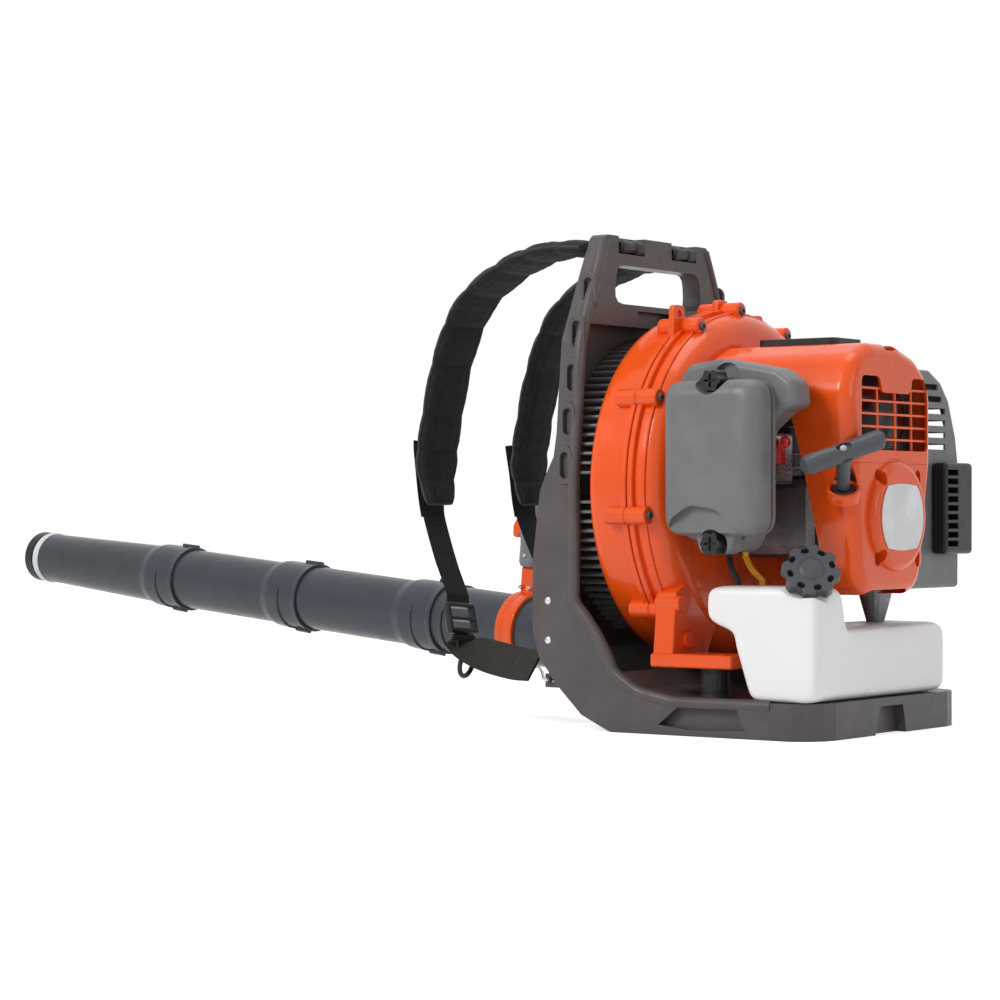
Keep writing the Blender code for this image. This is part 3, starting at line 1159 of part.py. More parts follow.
def make_tank():
    floor = BASE_HEIGHT + GAP
    flank = [(TANK_REAR_Y, floor), (-0.096, floor), (-0.073, TANK_TOP_Z), (TANK_REAR_Y, TANK_TOP_Z)]
    tank = prism("fuel_tank", fillet(flank, 0.012, 2), TANK_LEFT_X, TANK_RIGHT_X, "X", rounding=0.007)
    rear = TANK_REAR_Y + 0.0006
    filler = [(rear, 0.070), (-0.104, 0.070), (-0.084, 0.100), (-0.046, 0.114),
              (-0.046, TANK_FILLER_TOP_Z), (rear, TANK_FILLER_TOP_Z)]
    join(tank, prism("tank_filler", fillet(filler, 0.012, 2), TANK_LEFT_X + 0.0006, TANK_FILLER_RIGHT_X, "X",
                     rounding=0.006))
    seat = CAP_CENTRE - CAP_DIRECTION * (CAP_HEIGHT / 2 + 0.001)
    neck = cylinder("filler_neck", 0.016, 0.0214, seat - CAP_DIRECTION * 0.014, CAP_DIRECTION, 20)
    cut(tank, cylinder("cap_seat", CAP_RADIUS + 0.006, 0.06, seat - CAP_DIRECTION * GAP, CAP_DIRECTION, 28))
    join(tank, neck)
    wall = 0.003
    inside = [(TANK_REAR_Y + wall, floor + wall), (-0.096 - wall, floor + wall),
              (-0.073 - 1.3 * wall, TANK_TOP_Z - wall), (TANK_REAR_Y + wall, TANK_TOP_Z - wall)]
    cut(tank, prism("tank_hollow", fillet(inside, 0.009, 2), TANK_LEFT_X + wall, TANK_RIGHT_X - wall, "X"))
    cut(tank, cylinder("filler_bore", 0.012, 0.075, seat - CAP_DIRECTION * 0.055, CAP_DIRECTION, 16))
    paint(tank, "tank_poly", (0.85, 0.85, 0.84), 0.35)

    lobes = []
    count = CAP_LOBES * 6
    for i in range(count):
        angle = math.tau * i / count
        phase = (CAP_LOBES * angle) % math.tau
        dip = 0.0045 if abs(phase - math.pi) < 0.9 else 0.0
        lobes.append(((CAP_RADIUS - dip) * math.cos(angle), (CAP_RADIUS - dip) * math.sin(angle)))
    cap = prism("fuel_cap", lobes, 0, CAP_HEIGHT, "Z", rounding=0.0015, segments=1)
    cap.matrix_world = aim(seat, CAP_DIRECTION)
    well = cylinder("cap_well", around(0.016, 20), 0.009, seat - CAP_DIRECTION * 0.001, CAP_DIRECTION, 20)
    cut(cap, well)
    paint(cap, "cap_grey", (0.16, 0.165, 0.175), 0.4)


# ---------------------------------------------------------------- air tube


def along_tube(distance):
    return TUBE_START + TUBE_DIRECTION * distance


def elbow_path(steps=9):
    """From the duct straight down, round, and out along the tube's direction through the hose."""
    start = Vector((DUCT_X, SPLIT_Y, DUCT_END_Z - GAP))
    knee = start - Z_AXIS * 0.012
    out = along_tube(-0.004)
    first = knee + Vector((0.040, -0.006, -0.046))
    second = out - TUBE_DIRECTION * 0.070
    path = [start]
    for k in range(steps + 1):
        t = k / steps
        path.append(knee * (1 - t) ** 3 + first * 3 * t * (1 - t) ** 2 + second * 3 * t * t * (1 - t) + out * t ** 3)
    return path + [along_tube(SPIGOT_LENGTH)]


def make_elbow():
    path = elbow_path()
    flange = cylinder("elbow_flange", DUCT_RADIUS + 0.006, 0.004, path[0], -Z_AXIS, 24)
    elbow = swept("outlet_elbow", [path[0] - Z_AXIS * 0.0008] + path[1:], ELBOW_RADIUS, 4)
    join(elbow, flange)
    bore = [path[0] + Z_AXIS * 0.01] + path[1:-1] + [path[-1] + TUBE_DIRECTION * 0.01]
    cut(elbow, swept("elbow_bore", bore, ELBOW_BORE, 4))
    return paint(elbow, "elbow_plastic", SLATE, 0.4)


def make_hose():
    """The ribbed hose between the elbow's spigot and the control tube, with a plain bore."""
    cuff = 0.5 * HOSE_RADIUS
    ribbed = HOSE_LENGTH - 2 * cuff
    pitch = ribbed / HOSE_RIBS
    places = [0.0]
    radii = [HOSE_RADIUS]
    for i in range(HOSE_RIBS):
        places += [cuff + i * pitch, cuff + (i + 0.5) * pitch]
        radii += [HOSE_RADIUS, HOSE_RADIUS + HOSE_RIB_HEIGHT]
    places += [HOSE_LENGTH - cuff, HOSE_LENGTH]
    radii += [HOSE_RADIUS, HOSE_RADIUS]
    path = [along_tube(d) for d in places]
    hose = swept("flex_hose", path, HOSE_RADIUS, 3, radii, origin=along_tube(HOSE_LENGTH / 2))
    bore = around(max(ELBOW_RADIUS, TUBE_RADII[0]), 24)
    cut(hose, cylinder("hose_bore", bore, HOSE_LENGTH + 0.02, along_tube(-0.01), TUBE_DIRECTION, 24))
    return paint(hose, "hose_rubber", BLACK, 0.5)


def make_clamps():
    inner = around(HOSE_RADIUS, 24)
    for name, place in (("hose_clamp_elbow", 0.005), ("hose_clamp_tube", HOSE_LENGTH - 0.005 - CLAMP_WIDTH)):
        ring = pipe(name, inner + CLAMP_HEIGHT, inner, CLAMP_WIDTH, along_tube(place), TUBE_DIRECTION, 24)
        side = TUBE_DIRECTION.cross(Z_AXIS).normalized()
        lug = box(name + "_lug", (-0.006, -0.004, 0.001), (0.012, 0.004, CLAMP_WIDTH - 0.001))
        lug.matrix_world = aim(along_tube(place) + side * (inner + 0.008), TUBE_DIRECTION, side)
        join(ring, lug)
        cut(ring, cylinder(name + "_inside", inner, CLAMP_WIDTH + 0.01, along_tube(place - 0.005), TUBE_DIRECTION, 24))
        paint(ring, "clamp_steel", STEEL, 0.3, 1.0)
    inner = around(HOSE_RADIUS + HOSE_RIB_HEIGHT, 24)
    ring = pipe("cable_ring", inner + 0.0035, inner, 0.008, along_tube(HOSE_LENGTH / 2 - 0.004), TUBE_DIRECTION, 24)
    paint(ring, "ring_plastic", BLACK, 0.4)


def tube_section(name, start, length, radius, socket, tip=None, tip_ring=0.0):
    """A tube section with a socket at its near end; the socket slips over the section before it."""
    wall = TUBE_WALL
    tip = tip or radius
    profile = []
    if socket:
        inside = around(socket, 24)
        profile += [(inside, 0), (inside + wall + 0.0008, 0), (inside + wall + 0.0008, 0.006),
                    (inside + wall, 0.008), (inside + wall, SOCKET_LENGTH - 0.004), (radius, SOCKET_LENGTH + 0.004)]
    else:
        profile += [(radius - wall, 0), (radius, 0)]
    if tip_ring:
        profile += [(tip, length - tip_ring - 0.002), (tip + 0.0015, length - tip_ring), (tip + 0.0015, length)]
    else:
        profile += [(tip, length)]
    profile += [(tip - wall, length)]
    if socket:
        profile += [(radius - wall, SOCKET_LENGTH + 0.004), (radius - wall, SOCKET_LENGTH), (inside, SOCKET_LENGTH)]
    section = turned(name, profile, 24, along_tube(start), TUBE_DIRECTION, Z_AXIS, ring=True)
    if socket:
        outer = inside + wall
        for i, (place, angle) in enumerate(((0.004, 70), (0.004, 190), (0.030, -50))):
            ear = box(f"{name}_ear_{i}", (outer - 0.0012, -0.006, place), (outer + 0.0040, 0.006, place + 0.020))
            ear.matrix_world = aim(along_tube(start), TUBE_DIRECTION, Z_AXIS) @ Matrix.Rotation(
                math.radians(angle), 4, "Z")
            join(section, ear)
    return section


def make_tubes():
    start = HOSE_LENGTH - SPIGOT_LENGTH
    control = tube_section("control_tube", start, CONTROL_TUBE_LENGTH, TUBE_RADII[0], 0)
    paint(control, "tube_plastic", SLATE, 0.35)
    start += CONTROL_TUBE_LENGTH - SOCKET_LENGTH + 0.002
    first = tube_section("tube_1", start, TUBE_LENGTH + SOCKET_LENGTH, TUBE_RADII[1], TUBE_RADII[0])
    paint(first, "tube_plastic_1", SLATE, 0.35)
    start += TUBE_LENGTH + 0.002
    second = tube_section("tube_2", start, TUBE_LENGTH + SOCKET_LENGTH, TUBE_RADII[2], TUBE_RADII[1])
    paint(second, "tube_plastic_2", SLATE, 0.35)
    start += TUBE_LENGTH + 0.002
    nozzle = tube_section("nozzle", start, NOZZLE_LENGTH, TUBE_RADII[2] - 0.0010, TUBE_RADII[2], NOZZLE_TIP_RADIUS,
                          NOZZLE_RING)
    paint(nozzle, "nozzle_plastic", SLATE, 0.35)


# ---------------------------------------------------------------- control handle


def make_handle():
    """The clamp on the tube, its arm, and the pistol grip with trigger and stop switch."""
    middle = HOSE_LENGTH - SPIGOT_LENGTH + HANDLE_PLACE
    radius = around(TUBE_RADII[0], 28)
    upright = (Z_AXIS - TUBE_DIRECTION * Z_AXIS.dot(TUBE_DIRECTION)).normalized()
    ring = pipe("handle_clamp", radius + HANDLE_CLAMP_WALL, radius, HANDLE_CLAMP_WIDTH,
                along_tube(middle - HANDLE_CLAMP_WIDTH / 2), TUBE_DIRECTION, 28)
    arm = box("handle_arm", (-HANDLE_ARM_WIDTH / 2, -0.010, radius + 0.002),
              (HANDLE_ARM_WIDTH / 2, 0.010, radius + HANDLE_ARM_HEIGHT))
    arm.matrix_world = aim(along_tube(middle), upright, TUBE_DIRECTION.cross(upright))
    join(ring, arm)
    paint(ring, "handle_orange", ORANGE, 0.3)

    foot = along_tube(middle) + upright * (radius + HANDLE_ARM_HEIGHT + GAP)
    r, h = HANDLE_GRIP_RADIUS, HANDLE_GRIP_HEIGHT
    profile = [(0, 0), (r * 0.72, 0), (r * 0.86, 0.006), (r * 0.84, h * 0.35), (r, h * 0.72), (r * 0.95, h - 0.010),
               (r * 0.6, h), (0, h)]
    grip = turned("control_grip", profile, 20, foot, upright, TUBE_DIRECTION)
    well = box("trigger_well", (r * 0.50, -0.0062, h * 0.36), (r * 2, 0.0062, h * 0.85))
    well.matrix_world = aim(foot, upright, TUBE_DIRECTION)
    switch_well = cylinder("switch_well", 0.0055, 0.02, foot + upright * h * 0.78 - TUBE_DIRECTION * (r - 0.010),
                           -TUBE_DIRECTION, 14)
    cut(grip, well, switch_well)
    paint(grip, "grip_grey", (0.22, 0.22, 0.23), 0.45)

    pivot = foot + upright * h * 0.76 + TUBE_DIRECTION * (r * 0.78)
    down = -upright
    lever = [(-0.0038, -0.003), (0.0045, -0.003), (0.0130, 0.012), (0.0125, 0.024), (0.0070, 0.0265), (-0.0010, 0.016)]
    trigger = prism("throttle_trigger", fillet(lever, 0.002, 2), -0.0055, 0.0055, "Z")
    across = TUBE_DIRECTION.cross(upright).normalized()
    frame_matrix = Matrix((TUBE_DIRECTION, down, -across)).transposed().to_4x4()
    frame_matrix.translation = pivot
    trigger.matrix_world = frame_matrix
    paint(trigger, "trigger_orange", ORANGE, 0.35)

    seat = foot + upright * h * 0.78 - TUBE_DIRECTION * (r - 0.006 + GAP)
    switch = turned("stop_switch", [(0, 0), (0.0050, 0), (0.0050, 0.007), (0.0035, 0.009), (0, 0.009)], 14, seat,
                    -TUBE_DIRECTION)
    paint(switch, "switch_red", (0.70, 0.03, 0.03), 0.35)


# ---------------------------------------------------------------- harness


def pad_path():
    front = BACK_FRONT_Y
    return [(PAD_X + 0.004, front - 0.0034, 0.492), (PAD_X + 0.003, front + 0.045, 0.492),
            (PAD_X, front + 0.098, 0.478), (PAD_X, front + 0.150, 0.444), (PAD_X, front + 0.180, 0.390),
            (PAD_X, front + 0.198, 0.319), (PAD_X, front + 0.205, 0.268), (PAD_X, front + 0.200, 0.228)]


BUCKLE_TOP = Vector((PAD_X + 0.007, BACK_FRONT_Y + 0.1700, 0.124))
BUCKLE_BOTTOM = Vector((PAD_X + 0.010, BACK_FRONT_Y + 0.1610, 0.090))
BUCKLE_UP = (BUCKLE_TOP - BUCKLE_BOTTOM).normalized()


def web_path():
    """The webbing lies on the lower part of the pad, then hangs to the buckle."""
    path = curve_through(pad_path(), 5)
    frames = strip_frames(path, X_AXIS)
    offset = (PAD_THICKNESS + WEB_THICKNESS) / 2 + GAP
    on_pad = [frames[i][0] - frames[i][2] * offset for i in (24, 27, 30, 33, 35)]
    off_end = on_pad[-1] + (path[-1] - path[-2]).normalized() * 0.015
    return on_pad + [off_end, Vector((PAD_X + 0.004, BACK_FRONT_Y + 0.1890, 0.168)),
                     BUCKLE_TOP + BUCKLE_UP * 0.012, BUCKLE_TOP + BUCKLE_UP * 0.004,
                     BUCKLE_TOP + BUCKLE_UP * GAP]


def lower_path():
    return [BUCKLE_BOTTOM - BUCKLE_UP * GAP, BUCKLE_BOTTOM - BUCKLE_UP * 0.004, BUCKLE_BOTTOM - BUCKLE_UP * 0.012,
            (PAD_X + 0.022, BACK_FRONT_Y + 0.118, 0.069), (PAD_X + 0.038, BACK_FRONT_Y + 0.070, 0.063),
            (EYE_X - 0.016, EYE_Y + 0.033, 0.0625)]


def pad(name, sign):
    """A quilted shoulder pad: crowned, drawn in at its sides and stitched across in channels."""
    path = curve_through(mirrored(pad_path(), sign), 5)
    frames = strip_frames(path, X_AXIS)
    sections = []
    last = len(frames) - 1
    for i, (point, side, normal) in enumerate(frames):
        t = i / last
        taper = min(1.0, 0.62 + 2.4 * min(t, 1 - t))
        channel = 0.74 + 0.26 * abs(math.sin(math.pi * PAD_CHANNELS * t))
        width = PAD_WIDTH * taper * (0.97 + 0.03 * channel)
        thick = PAD_THICKNESS * channel
        ring = []
        for k in range(10):
            angle = math.tau * (k + 0.5) / 10
            u = math.copysign(abs(math.cos(angle)) ** 0.65, math.cos(angle))
            v = math.copysign(abs(math.sin(angle)) ** 0.8, math.sin(angle))
            ring.append(point + side * u * width / 2 + normal * v * thick / 2)
        sections.append(ring)
    return paint(loft(name, sections), "pad_fabric", BLACK, 0.85)


def make_harness():
    for side, sign in (("left", -1), ("right", 1)):
        pad(f"shoulder_pad_{side}", sign)
        points = mirrored(web_path(), sign)
        web = ribbon(f"strap_webbing_{side}", curve_through(points[:-1], 4) + points[-1:], WEB_WIDTH, WEB_THICKNESS)
        paint(web, "webbing_black", WEBBING, 0.8)
        points = mirrored(lower_path(), sign)
        lower = ribbon(f"lower_strap_{side}", points[:1] + curve_through(points[1:], 5), WEB_WIDTH,
                       WEB_THICKNESS + 0.001)
        paint(lower, "webbing_olive", (0.03, 0.03, 0.022), 0.8)
        make_buckle(side, sign)
        make_hook(side, sign)


def make_buckle(side, sign):
    """The ladder buckle between the webbing and the lower strap."""
    up = mirrored([BUCKLE_UP], sign)[0]
    middle = mirrored([(BUCKLE_TOP + BUCKLE_BOTTOM) / 2], sign)[0]
    length = (BUCKLE_TOP - BUCKLE_BOTTOM).length - 2 * GAP
    half = BUCKLE_WIDTH / 2
    buckle = box(f"strap_buckle_{side}", (-half, -0.004, -length / 2), (half, 0.004, length / 2), rounding=0.002,
                 segments=1)
    buckle.matrix_world = aim(middle, up, X_AXIS)
    for name, low, high in (("upper", 0.001, length / 2 - 0.006), ("lower", -length / 2 + 0.006, -0.003)):
        slot = box(f"buckle_{name}_{side}", (-half + 0.005, -0.02, low), (half - 0.005, 0.02, high))
        slot.matrix_world = aim(middle, up, X_AXIS)
        cut(buckle, slot)
    return paint(buckle, "buckle_plastic", BLACK, 0.35)


def make_hook(side, sign):
    """The wire hook that ties the lower strap to the lug on the frame."""
    strap_end = mirrored(lower_path(), sign)[-1]
    eye = Vector((sign * EYE_X, EYE_Y, EYE_Z))
    out = X_AXIS * sign
    path = curve_through([strap_end + Vector((0, -0.0032, -0.001)), strap_end + Vector((sign * 0.008, -0.014, -0.006)),
                          eye + out * 0.0100 + Vector((0, 0.004, 0.001)), eye + out * 0.0068, eye - out * 0.0060], 3)
    hook = swept(f"strap_hook_{side}", path, HOOK_RADIUS, 1)
    paint(hook, "hook_steel", STEEL, 0.25, 1.0)


# ---------------------------------------------------------------- assembly


def main():
    make_frame()
    make_toggles()
    make_fan_housing()
    make_impeller()
    make_intake_guard()
    make_av_mounts()
    make_crankcase()
    make_cylinder()
    make_piston()
    make_crankshaft()
    make_flywheel()
    make_spark_plug()
    make_engine_cowl()
    make_cowl_cap()
    make_starter_housing()
    make_starter()
    make_filter()
    make_filter_base()
    make_carburettor()
    make_fuel_lines()
    make_muffler()
    make_tank()
    make_elbow()
    make_hose()
    make_clamps()
    make_tubes()
    make_handle()
    make_harness()


main()
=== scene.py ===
"""Looks of the backpack leaf blower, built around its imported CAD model.

Metres. +Z is up, +Y is the way the wearer faces, +X is the wearer's right.
"""

import json
import math

import bmesh
import bpy
from mathutils import Matrix, Vector

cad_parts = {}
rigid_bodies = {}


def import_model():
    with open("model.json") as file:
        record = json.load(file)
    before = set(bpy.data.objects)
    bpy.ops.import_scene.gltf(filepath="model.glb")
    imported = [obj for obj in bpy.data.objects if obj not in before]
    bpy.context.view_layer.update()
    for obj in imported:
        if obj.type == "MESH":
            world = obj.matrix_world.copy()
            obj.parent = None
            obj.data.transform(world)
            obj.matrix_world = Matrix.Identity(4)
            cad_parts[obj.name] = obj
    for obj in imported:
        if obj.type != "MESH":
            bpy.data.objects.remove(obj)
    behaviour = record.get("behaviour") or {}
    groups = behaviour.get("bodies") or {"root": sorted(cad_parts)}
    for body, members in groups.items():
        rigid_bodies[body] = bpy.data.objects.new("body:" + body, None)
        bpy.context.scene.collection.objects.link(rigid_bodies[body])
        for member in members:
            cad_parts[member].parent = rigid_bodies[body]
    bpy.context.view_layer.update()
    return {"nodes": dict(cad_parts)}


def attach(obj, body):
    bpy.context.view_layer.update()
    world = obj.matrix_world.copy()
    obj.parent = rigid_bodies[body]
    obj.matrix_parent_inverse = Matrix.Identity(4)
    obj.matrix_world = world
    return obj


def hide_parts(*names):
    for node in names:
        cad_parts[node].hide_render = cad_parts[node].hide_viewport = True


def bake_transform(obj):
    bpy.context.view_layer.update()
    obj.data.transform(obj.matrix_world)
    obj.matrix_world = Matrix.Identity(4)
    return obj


X_AXIS = Vector((1, 0, 0))
Y_AXIS = Vector((0, 1, 0))
Z_AXIS = Vector((0, 0, 1))
SIDES = (("left", -1), ("right", 1))

for old in list(bpy.data.objects):
    bpy.data.objects.remove(old, do_unlink=True)

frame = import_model()
NODES = frame["nodes"]


# ---------------------------------------------------------------- materials


class Graph:
    """Makes and links the nodes of one node tree."""

    def __init__(self, owner):
        owner.use_nodes = True
        self.tree = owner.node_tree

    def node(self, kind, **settings):
        made = self.tree.nodes.new(kind)
        for name, value in settings.items():
            setattr(made, name, value)
        return made

    def feed(self, socket, source):
        if hasattr(source, "is_output"):
            self.tree.links.new(source, socket)
        else:
            socket.default_value = source

    def spread(self, source, low, high, to_low=0.0, to_high=1.0):
        made = self.node("ShaderNodeMapRange", clamp=True)
        for name, value in (("From Min", low), ("From Max", high), ("To Min", to_low), ("To Max", to_high)):
            made.inputs[name].default_value = value
        self.feed(made.inputs["Value"], source)
        return made.outputs["Result"]

    def math(self, operation, a, b=0.0):
        made = self.node("ShaderNodeMath", operation=operation)
        self.feed(made.inputs[0], a)
        self.feed(made.inputs[1], b)
        return made.outputs[0]


class Finish(Graph):
    """A procedural material: noise in the object's own coordinates drives colour, roughness and relief."""

    def __init__(self, name, color, rough, metallic=0.0, specular=0.5, **sockets):
        self.material = bpy.data.materials.new(name)
        super().__init__(self.material)
        self.shader = self.tree.nodes["Principled BSDF"]
        self.color = color
        self.rough = rough
        self.shader.inputs["Base Color"].default_value = (*color, 1.0)
        self.shader.inputs["Roughness"].default_value = rough
        self.shader.inputs["Metallic"].default_value = metallic
        self.shader.inputs["Specular IOR Level"].default_value = specular
        for socket, value in sockets.items():
            self.shader.inputs[socket.replace("_", " ").title()].default_value = value
        self.place = self.node("ShaderNodeTexCoord").outputs["Object"]
        self.normal = None

    def noise(self, scale, detail=3.0, stretch=None, roughness=0.5):
        place = self.place
        if stretch:
            mapping = self.node("ShaderNodeMapping")
            mapping.inputs["Scale"].default_value = stretch
            self.feed(mapping.inputs["Vector"], place)
            place = mapping.outputs["Vector"]
        made = self.node("ShaderNodeTexNoise")
        made.inputs["Scale"].default_value = scale
        made.inputs["Detail"].default_value = detail
        made.inputs["Roughness"].default_value = roughness
        self.feed(made.inputs["Vector"], place)
        return made.outputs["Fac"]

    def blend(self, factor, a, b):
        made = self.node("ShaderNodeMix", data_type="RGBA")
        self.feed(made.inputs["Factor"], factor)
        for socket, value in ((made.inputs["A"], a), (made.inputs["B"], b)):
            self.feed(socket, value if hasattr(value, "is_output") else (*value, 1.0))
        return made.outputs["Result"]

    def tint(self, source, low, high, dark, light):
        """Colour runs from dark to light, as factors of the base colour, with the source from low to high."""
        a = tuple(min(c * dark, 1.0) for c in self.color)
        b = tuple(min(c * light, 1.0) for c in self.color)
        self.feed(self.shader.inputs["Base Color"], self.blend(self.spread(source, low, high), a, b))

    def dust(self, amount, tone, scale=55.0):
        """Pale dust and rubbed patches, in uneven spots."""
        socket = self.shader.inputs["Base Color"]
        under = socket.links[0].from_socket if socket.links else self.color
        spots = self.spread(self.noise(scale, 6.0, roughness=0.65), 0.52, 0.74, 0.0, amount)
        self.feed(socket, self.blend(spots, under, tone))

    def polish(self, source, low, high, less, more):
        rough = self.spread(source, low, high, self.rough - less, self.rough + more)
        self.feed(self.shader.inputs["Roughness"], rough)

    def relief(self, source, distance, strength=1.0):
        bump = self.node("ShaderNodeBump")
        bump.inputs["Strength"].default_value = strength
        bump.inputs["Distance"].default_value = distance
        self.feed(bump.inputs["Height"], source)
        if self.normal:
            self.feed(bump.inputs["Normal"], self.normal)
        self.normal = bump.outputs["Normal"]
        self.feed(self.shader.inputs["Normal"], self.normal)


def moulded(name, color, rough, grain=0.00010, grain_scale=1100.0, dust=0.10, tone=(0.32, 0.31, 0.30),
            **sockets):
    """Satin moulded plastic: fine spark grain, faint flow marks and a little dust."""
    made = Finish(name, color, rough, specular=0.32, **sockets)
    made.tint(made.noise(26.0, 4.0), 0.3, 0.7, 0.88, 1.12)
    if dust:
        made.dust(dust, tone)
    made.polish(made.noise(70.0, 5.0), 0.3, 0.7, 0.05, 0.08)
    made.relief(made.noise(9.0, 2.0), 0.0006, 0.25)
    if grain:
        made.relief(made.noise(grain_scale, 2.0), grain, 0.6)
    return made.material


def glossy_orange():
    """Glossy orange plastic under a clear skin, with slow waviness and fine scuffs."""
    made = Finish("orange_plastic", (0.86, 0.092, 0.006), 0.24, specular=0.24, coat_weight=0.26,
                  coat_roughness=0.035)
    made.tint(made.noise(14.0, 3.0), 0.3, 0.7, 0.93, 1.06)
    made.dust(0.03, (0.75, 0.40, 0.25), 90.0)
    made.polish(made.noise(55.0, 6.0), 0.35, 0.7, 0.05, 0.10)
    made.relief(made.noise(11.0, 2.0), 0.0007, 0.25)
    made.relief(made.noise(700.0, 2.0), 0.00003, 0.5)
    return made.material


def metal(name, color, rough, cast=0.0, stretch=(1.0, 1.0, 1.0)):
    """Bare metal: machining streaks, or the coarse skin of a casting."""
    scale = 400.0
    made = Finish(name, color, rough, metallic=1.0)
    made.tint(made.noise(60.0, 5.0), 0.3, 0.7, 0.75, 1.15)
    made.polish(made.noise(scale, 4.0, stretch), 0.3, 0.7, 0.10, 0.14)
    made.relief(made.noise(scale, 3.0, stretch), 0.00008 + cast, 0.5)
    return made.material


def woven(name, color, pitch):
    """Cloth woven over and under, in the piece's own length and width."""
    made = Finish(name, color, 0.85, specular=0.15, sheen_weight=0.12, sheen_roughness=0.45)
    uv = made.node("ShaderNodeUVMap", uv_map="weave")
    split = made.node("ShaderNodeSeparateXYZ")
    made.feed(split.inputs[0], uv.outputs["UV"])
    over = made.math("SINE", made.math("MULTIPLY", split.outputs[0], math.tau / pitch))
    along = made.math("SINE", made.math("MULTIPLY", split.outputs[1], math.tau / pitch))
    cross = made.math("MULTIPLY", over, along)
    fray = made.noise(900.0, 3.0)
    height = made.math("ADD", made.math("MULTIPLY", cross, 0.5), made.math("MULTIPLY", fray, 0.6))
    made.tint(height, -0.3, 0.9, 0.65, 1.9)
    made.dust(0.10, (0.20, 0.19, 0.18), 70.0)
    made.relief(height, 0.00035, 0.8)
    return made.material


def rubber():
    """Matt black rubber with a fine grain and some dust."""
    made = Finish("rubber", (0.016, 0.016, 0.017), 0.55, specular=0.28)
    made.tint(made.noise(40.0, 5.0), 0.3, 0.7, 0.8, 1.25)
    made.dust(0.14, (0.22, 0.21, 0.20), 80.0)
    made.relief(made.noise(500.0, 3.0), 0.00012, 0.6)
    return made.material


def tank_plastic():
    """Milky blow-moulded plastic that the light gets into, with a faint grey mottle."""
    made = Finish("tank_poly", (0.90, 0.90, 0.895), 0.30, subsurface_weight=0.35, subsurface_scale=0.012)
    made.shader.inputs["Subsurface Radius"].default_value = (1.0, 0.95, 0.85)
    made.tint(made.noise(9.0, 2.0), 0.3, 0.7, 0.985, 1.0)
    made.polish(made.noise(12.0, 2.0), 0.3, 0.7, 0.03, 0.05)
    made.relief(made.noise(700.0, 2.0), 0.00001, 0.4)
    return made.material


MATERIALS = {
    "frame_plastic": moulded("frame_plastic", (0.086, 0.076, 0.073), 0.38, 0.00012, 900.0, 0.10,
                             (0.20, 0.18, 0.175)),
    "black_plastic": moulded("black_plastic", (0.012, 0.012, 0.013), 0.38, dust=0.08,
                             tone=(0.16, 0.16, 0.16)),
    "orange_plastic": glossy_orange(),
    "cover_grey": moulded("cover_grey", (0.165, 0.170, 0.175), 0.36, 0.00008, 1000.0, 0.06),
    "tube_slate": moulded("tube_slate", (0.040, 0.048, 0.060), 0.27, 0.00002, 800.0, 0.05,
                          (0.20, 0.22, 0.25)),
    "rubber": rubber(),
    "case_metal": metal("case_metal", (0.20, 0.20, 0.21), 0.50, 0.0002),
    "bright_metal": metal("bright_metal", (0.62, 0.62, 0.63), 0.30),
    "steel": metal("steel", (0.55, 0.55, 0.56), 0.24, stretch=(1.0, 1.0, 6.0)),
    "muffler_metal": metal("muffler_metal", (0.16, 0.15, 0.14), 0.48, 0.00015),
    "tank_poly": tank_plastic(),
    "badge_white": moulded("badge_white", (0.78, 0.79, 0.81), 0.28, 0.00003, dust=0.03,
                           tone=(0.55, 0.55, 0.56)),
    "cap_grey": moulded("cap_grey", (0.075, 0.080, 0.090), 0.38, dust=0.06),
    "grip_grey": moulded("grip_grey", (0.19, 0.195, 0.20), 0.42, dust=0.06),
    "red_plastic": moulded("red_plastic", (0.62, 0.016, 0.014), 0.30, 0.00003, dust=0.03, coat_weight=0.2),
    "line_yellow": moulded("line_yellow", (0.80, 0.36, 0.02), 0.35, 0.00003, dust=0.05),
    "filter_paper": moulded("filter_paper", (0.60, 0.52, 0.35), 0.90, 0.0003, 300.0),
    "pad_fabric": woven("pad_fabric", (0.020, 0.020, 0.022), 0.0016),
    "webbing": woven("webbing", (0.012, 0.012, 0.013), 0.0022),
    "webbing_olive": woven("webbing_olive", (0.022, 0.021, 0.016), 0.0022),
    "rope": moulded("rope", (0.55, 0.55, 0.52), 0.80, 0.0003, 500.0),
}


# ---------------------------------------------------------------- CAD nodes that stay

# (finish, width of its rounded edges): the nodes that have them
DRESS = {
    ("frame_plastic", 0.003): "frame",
    ("black_plastic", 0.0006): "strap_toggle_left strap_toggle_right",
    ("rubber", 0.0005): "av_mount_left av_mount_right",
    ("black_plastic", 0.0): "impeller starter_pulley",
    ("case_metal", 0.0008): "crankcase",
    ("case_metal", 0.0005): "cylinder",
    ("bright_metal", 0.0): "piston",
    ("steel", 0.0): "crankshaft strap_hook_left strap_hook_right",
    ("bright_metal", 0.0003): "flywheel",
    ("rubber", 0.0004): "spark_plug",
    ("bright_metal", 0.0006): "carburettor",
    ("filter_paper", 0.0): "filter_element",
    ("black_plastic", 0.0007): "heat_guard strap_buckle_left strap_buckle_right",
    ("red_plastic", 0.0003): "choke_lever",
    ("muffler_metal", 0.0): "muffler",
    ("cover_grey", 0.0008): "muffler_cover",
    ("black_plastic", 0.0004): "rope_guide",
    ("rubber", 0.0): "fuel_line",
    ("line_yellow", 0.0): "return_line",
    ("black_plastic", 0.0005): "cable_ring",
    ("orange_plastic", 0.0006): "throttle_trigger",
    ("red_plastic", 0.0006): "stop_switch",
}


def rounded(obj, width, segments=3, angle=40):
    """Rounds every edge that is sharper than the angle."""
    bevel = obj.modifiers.new("Bevel", "BEVEL")
    bevel.width = width
    bevel.segments = segments
    bevel.limit_method = "ANGLE"
    bevel.angle_limit = math.radians(angle)
    return obj


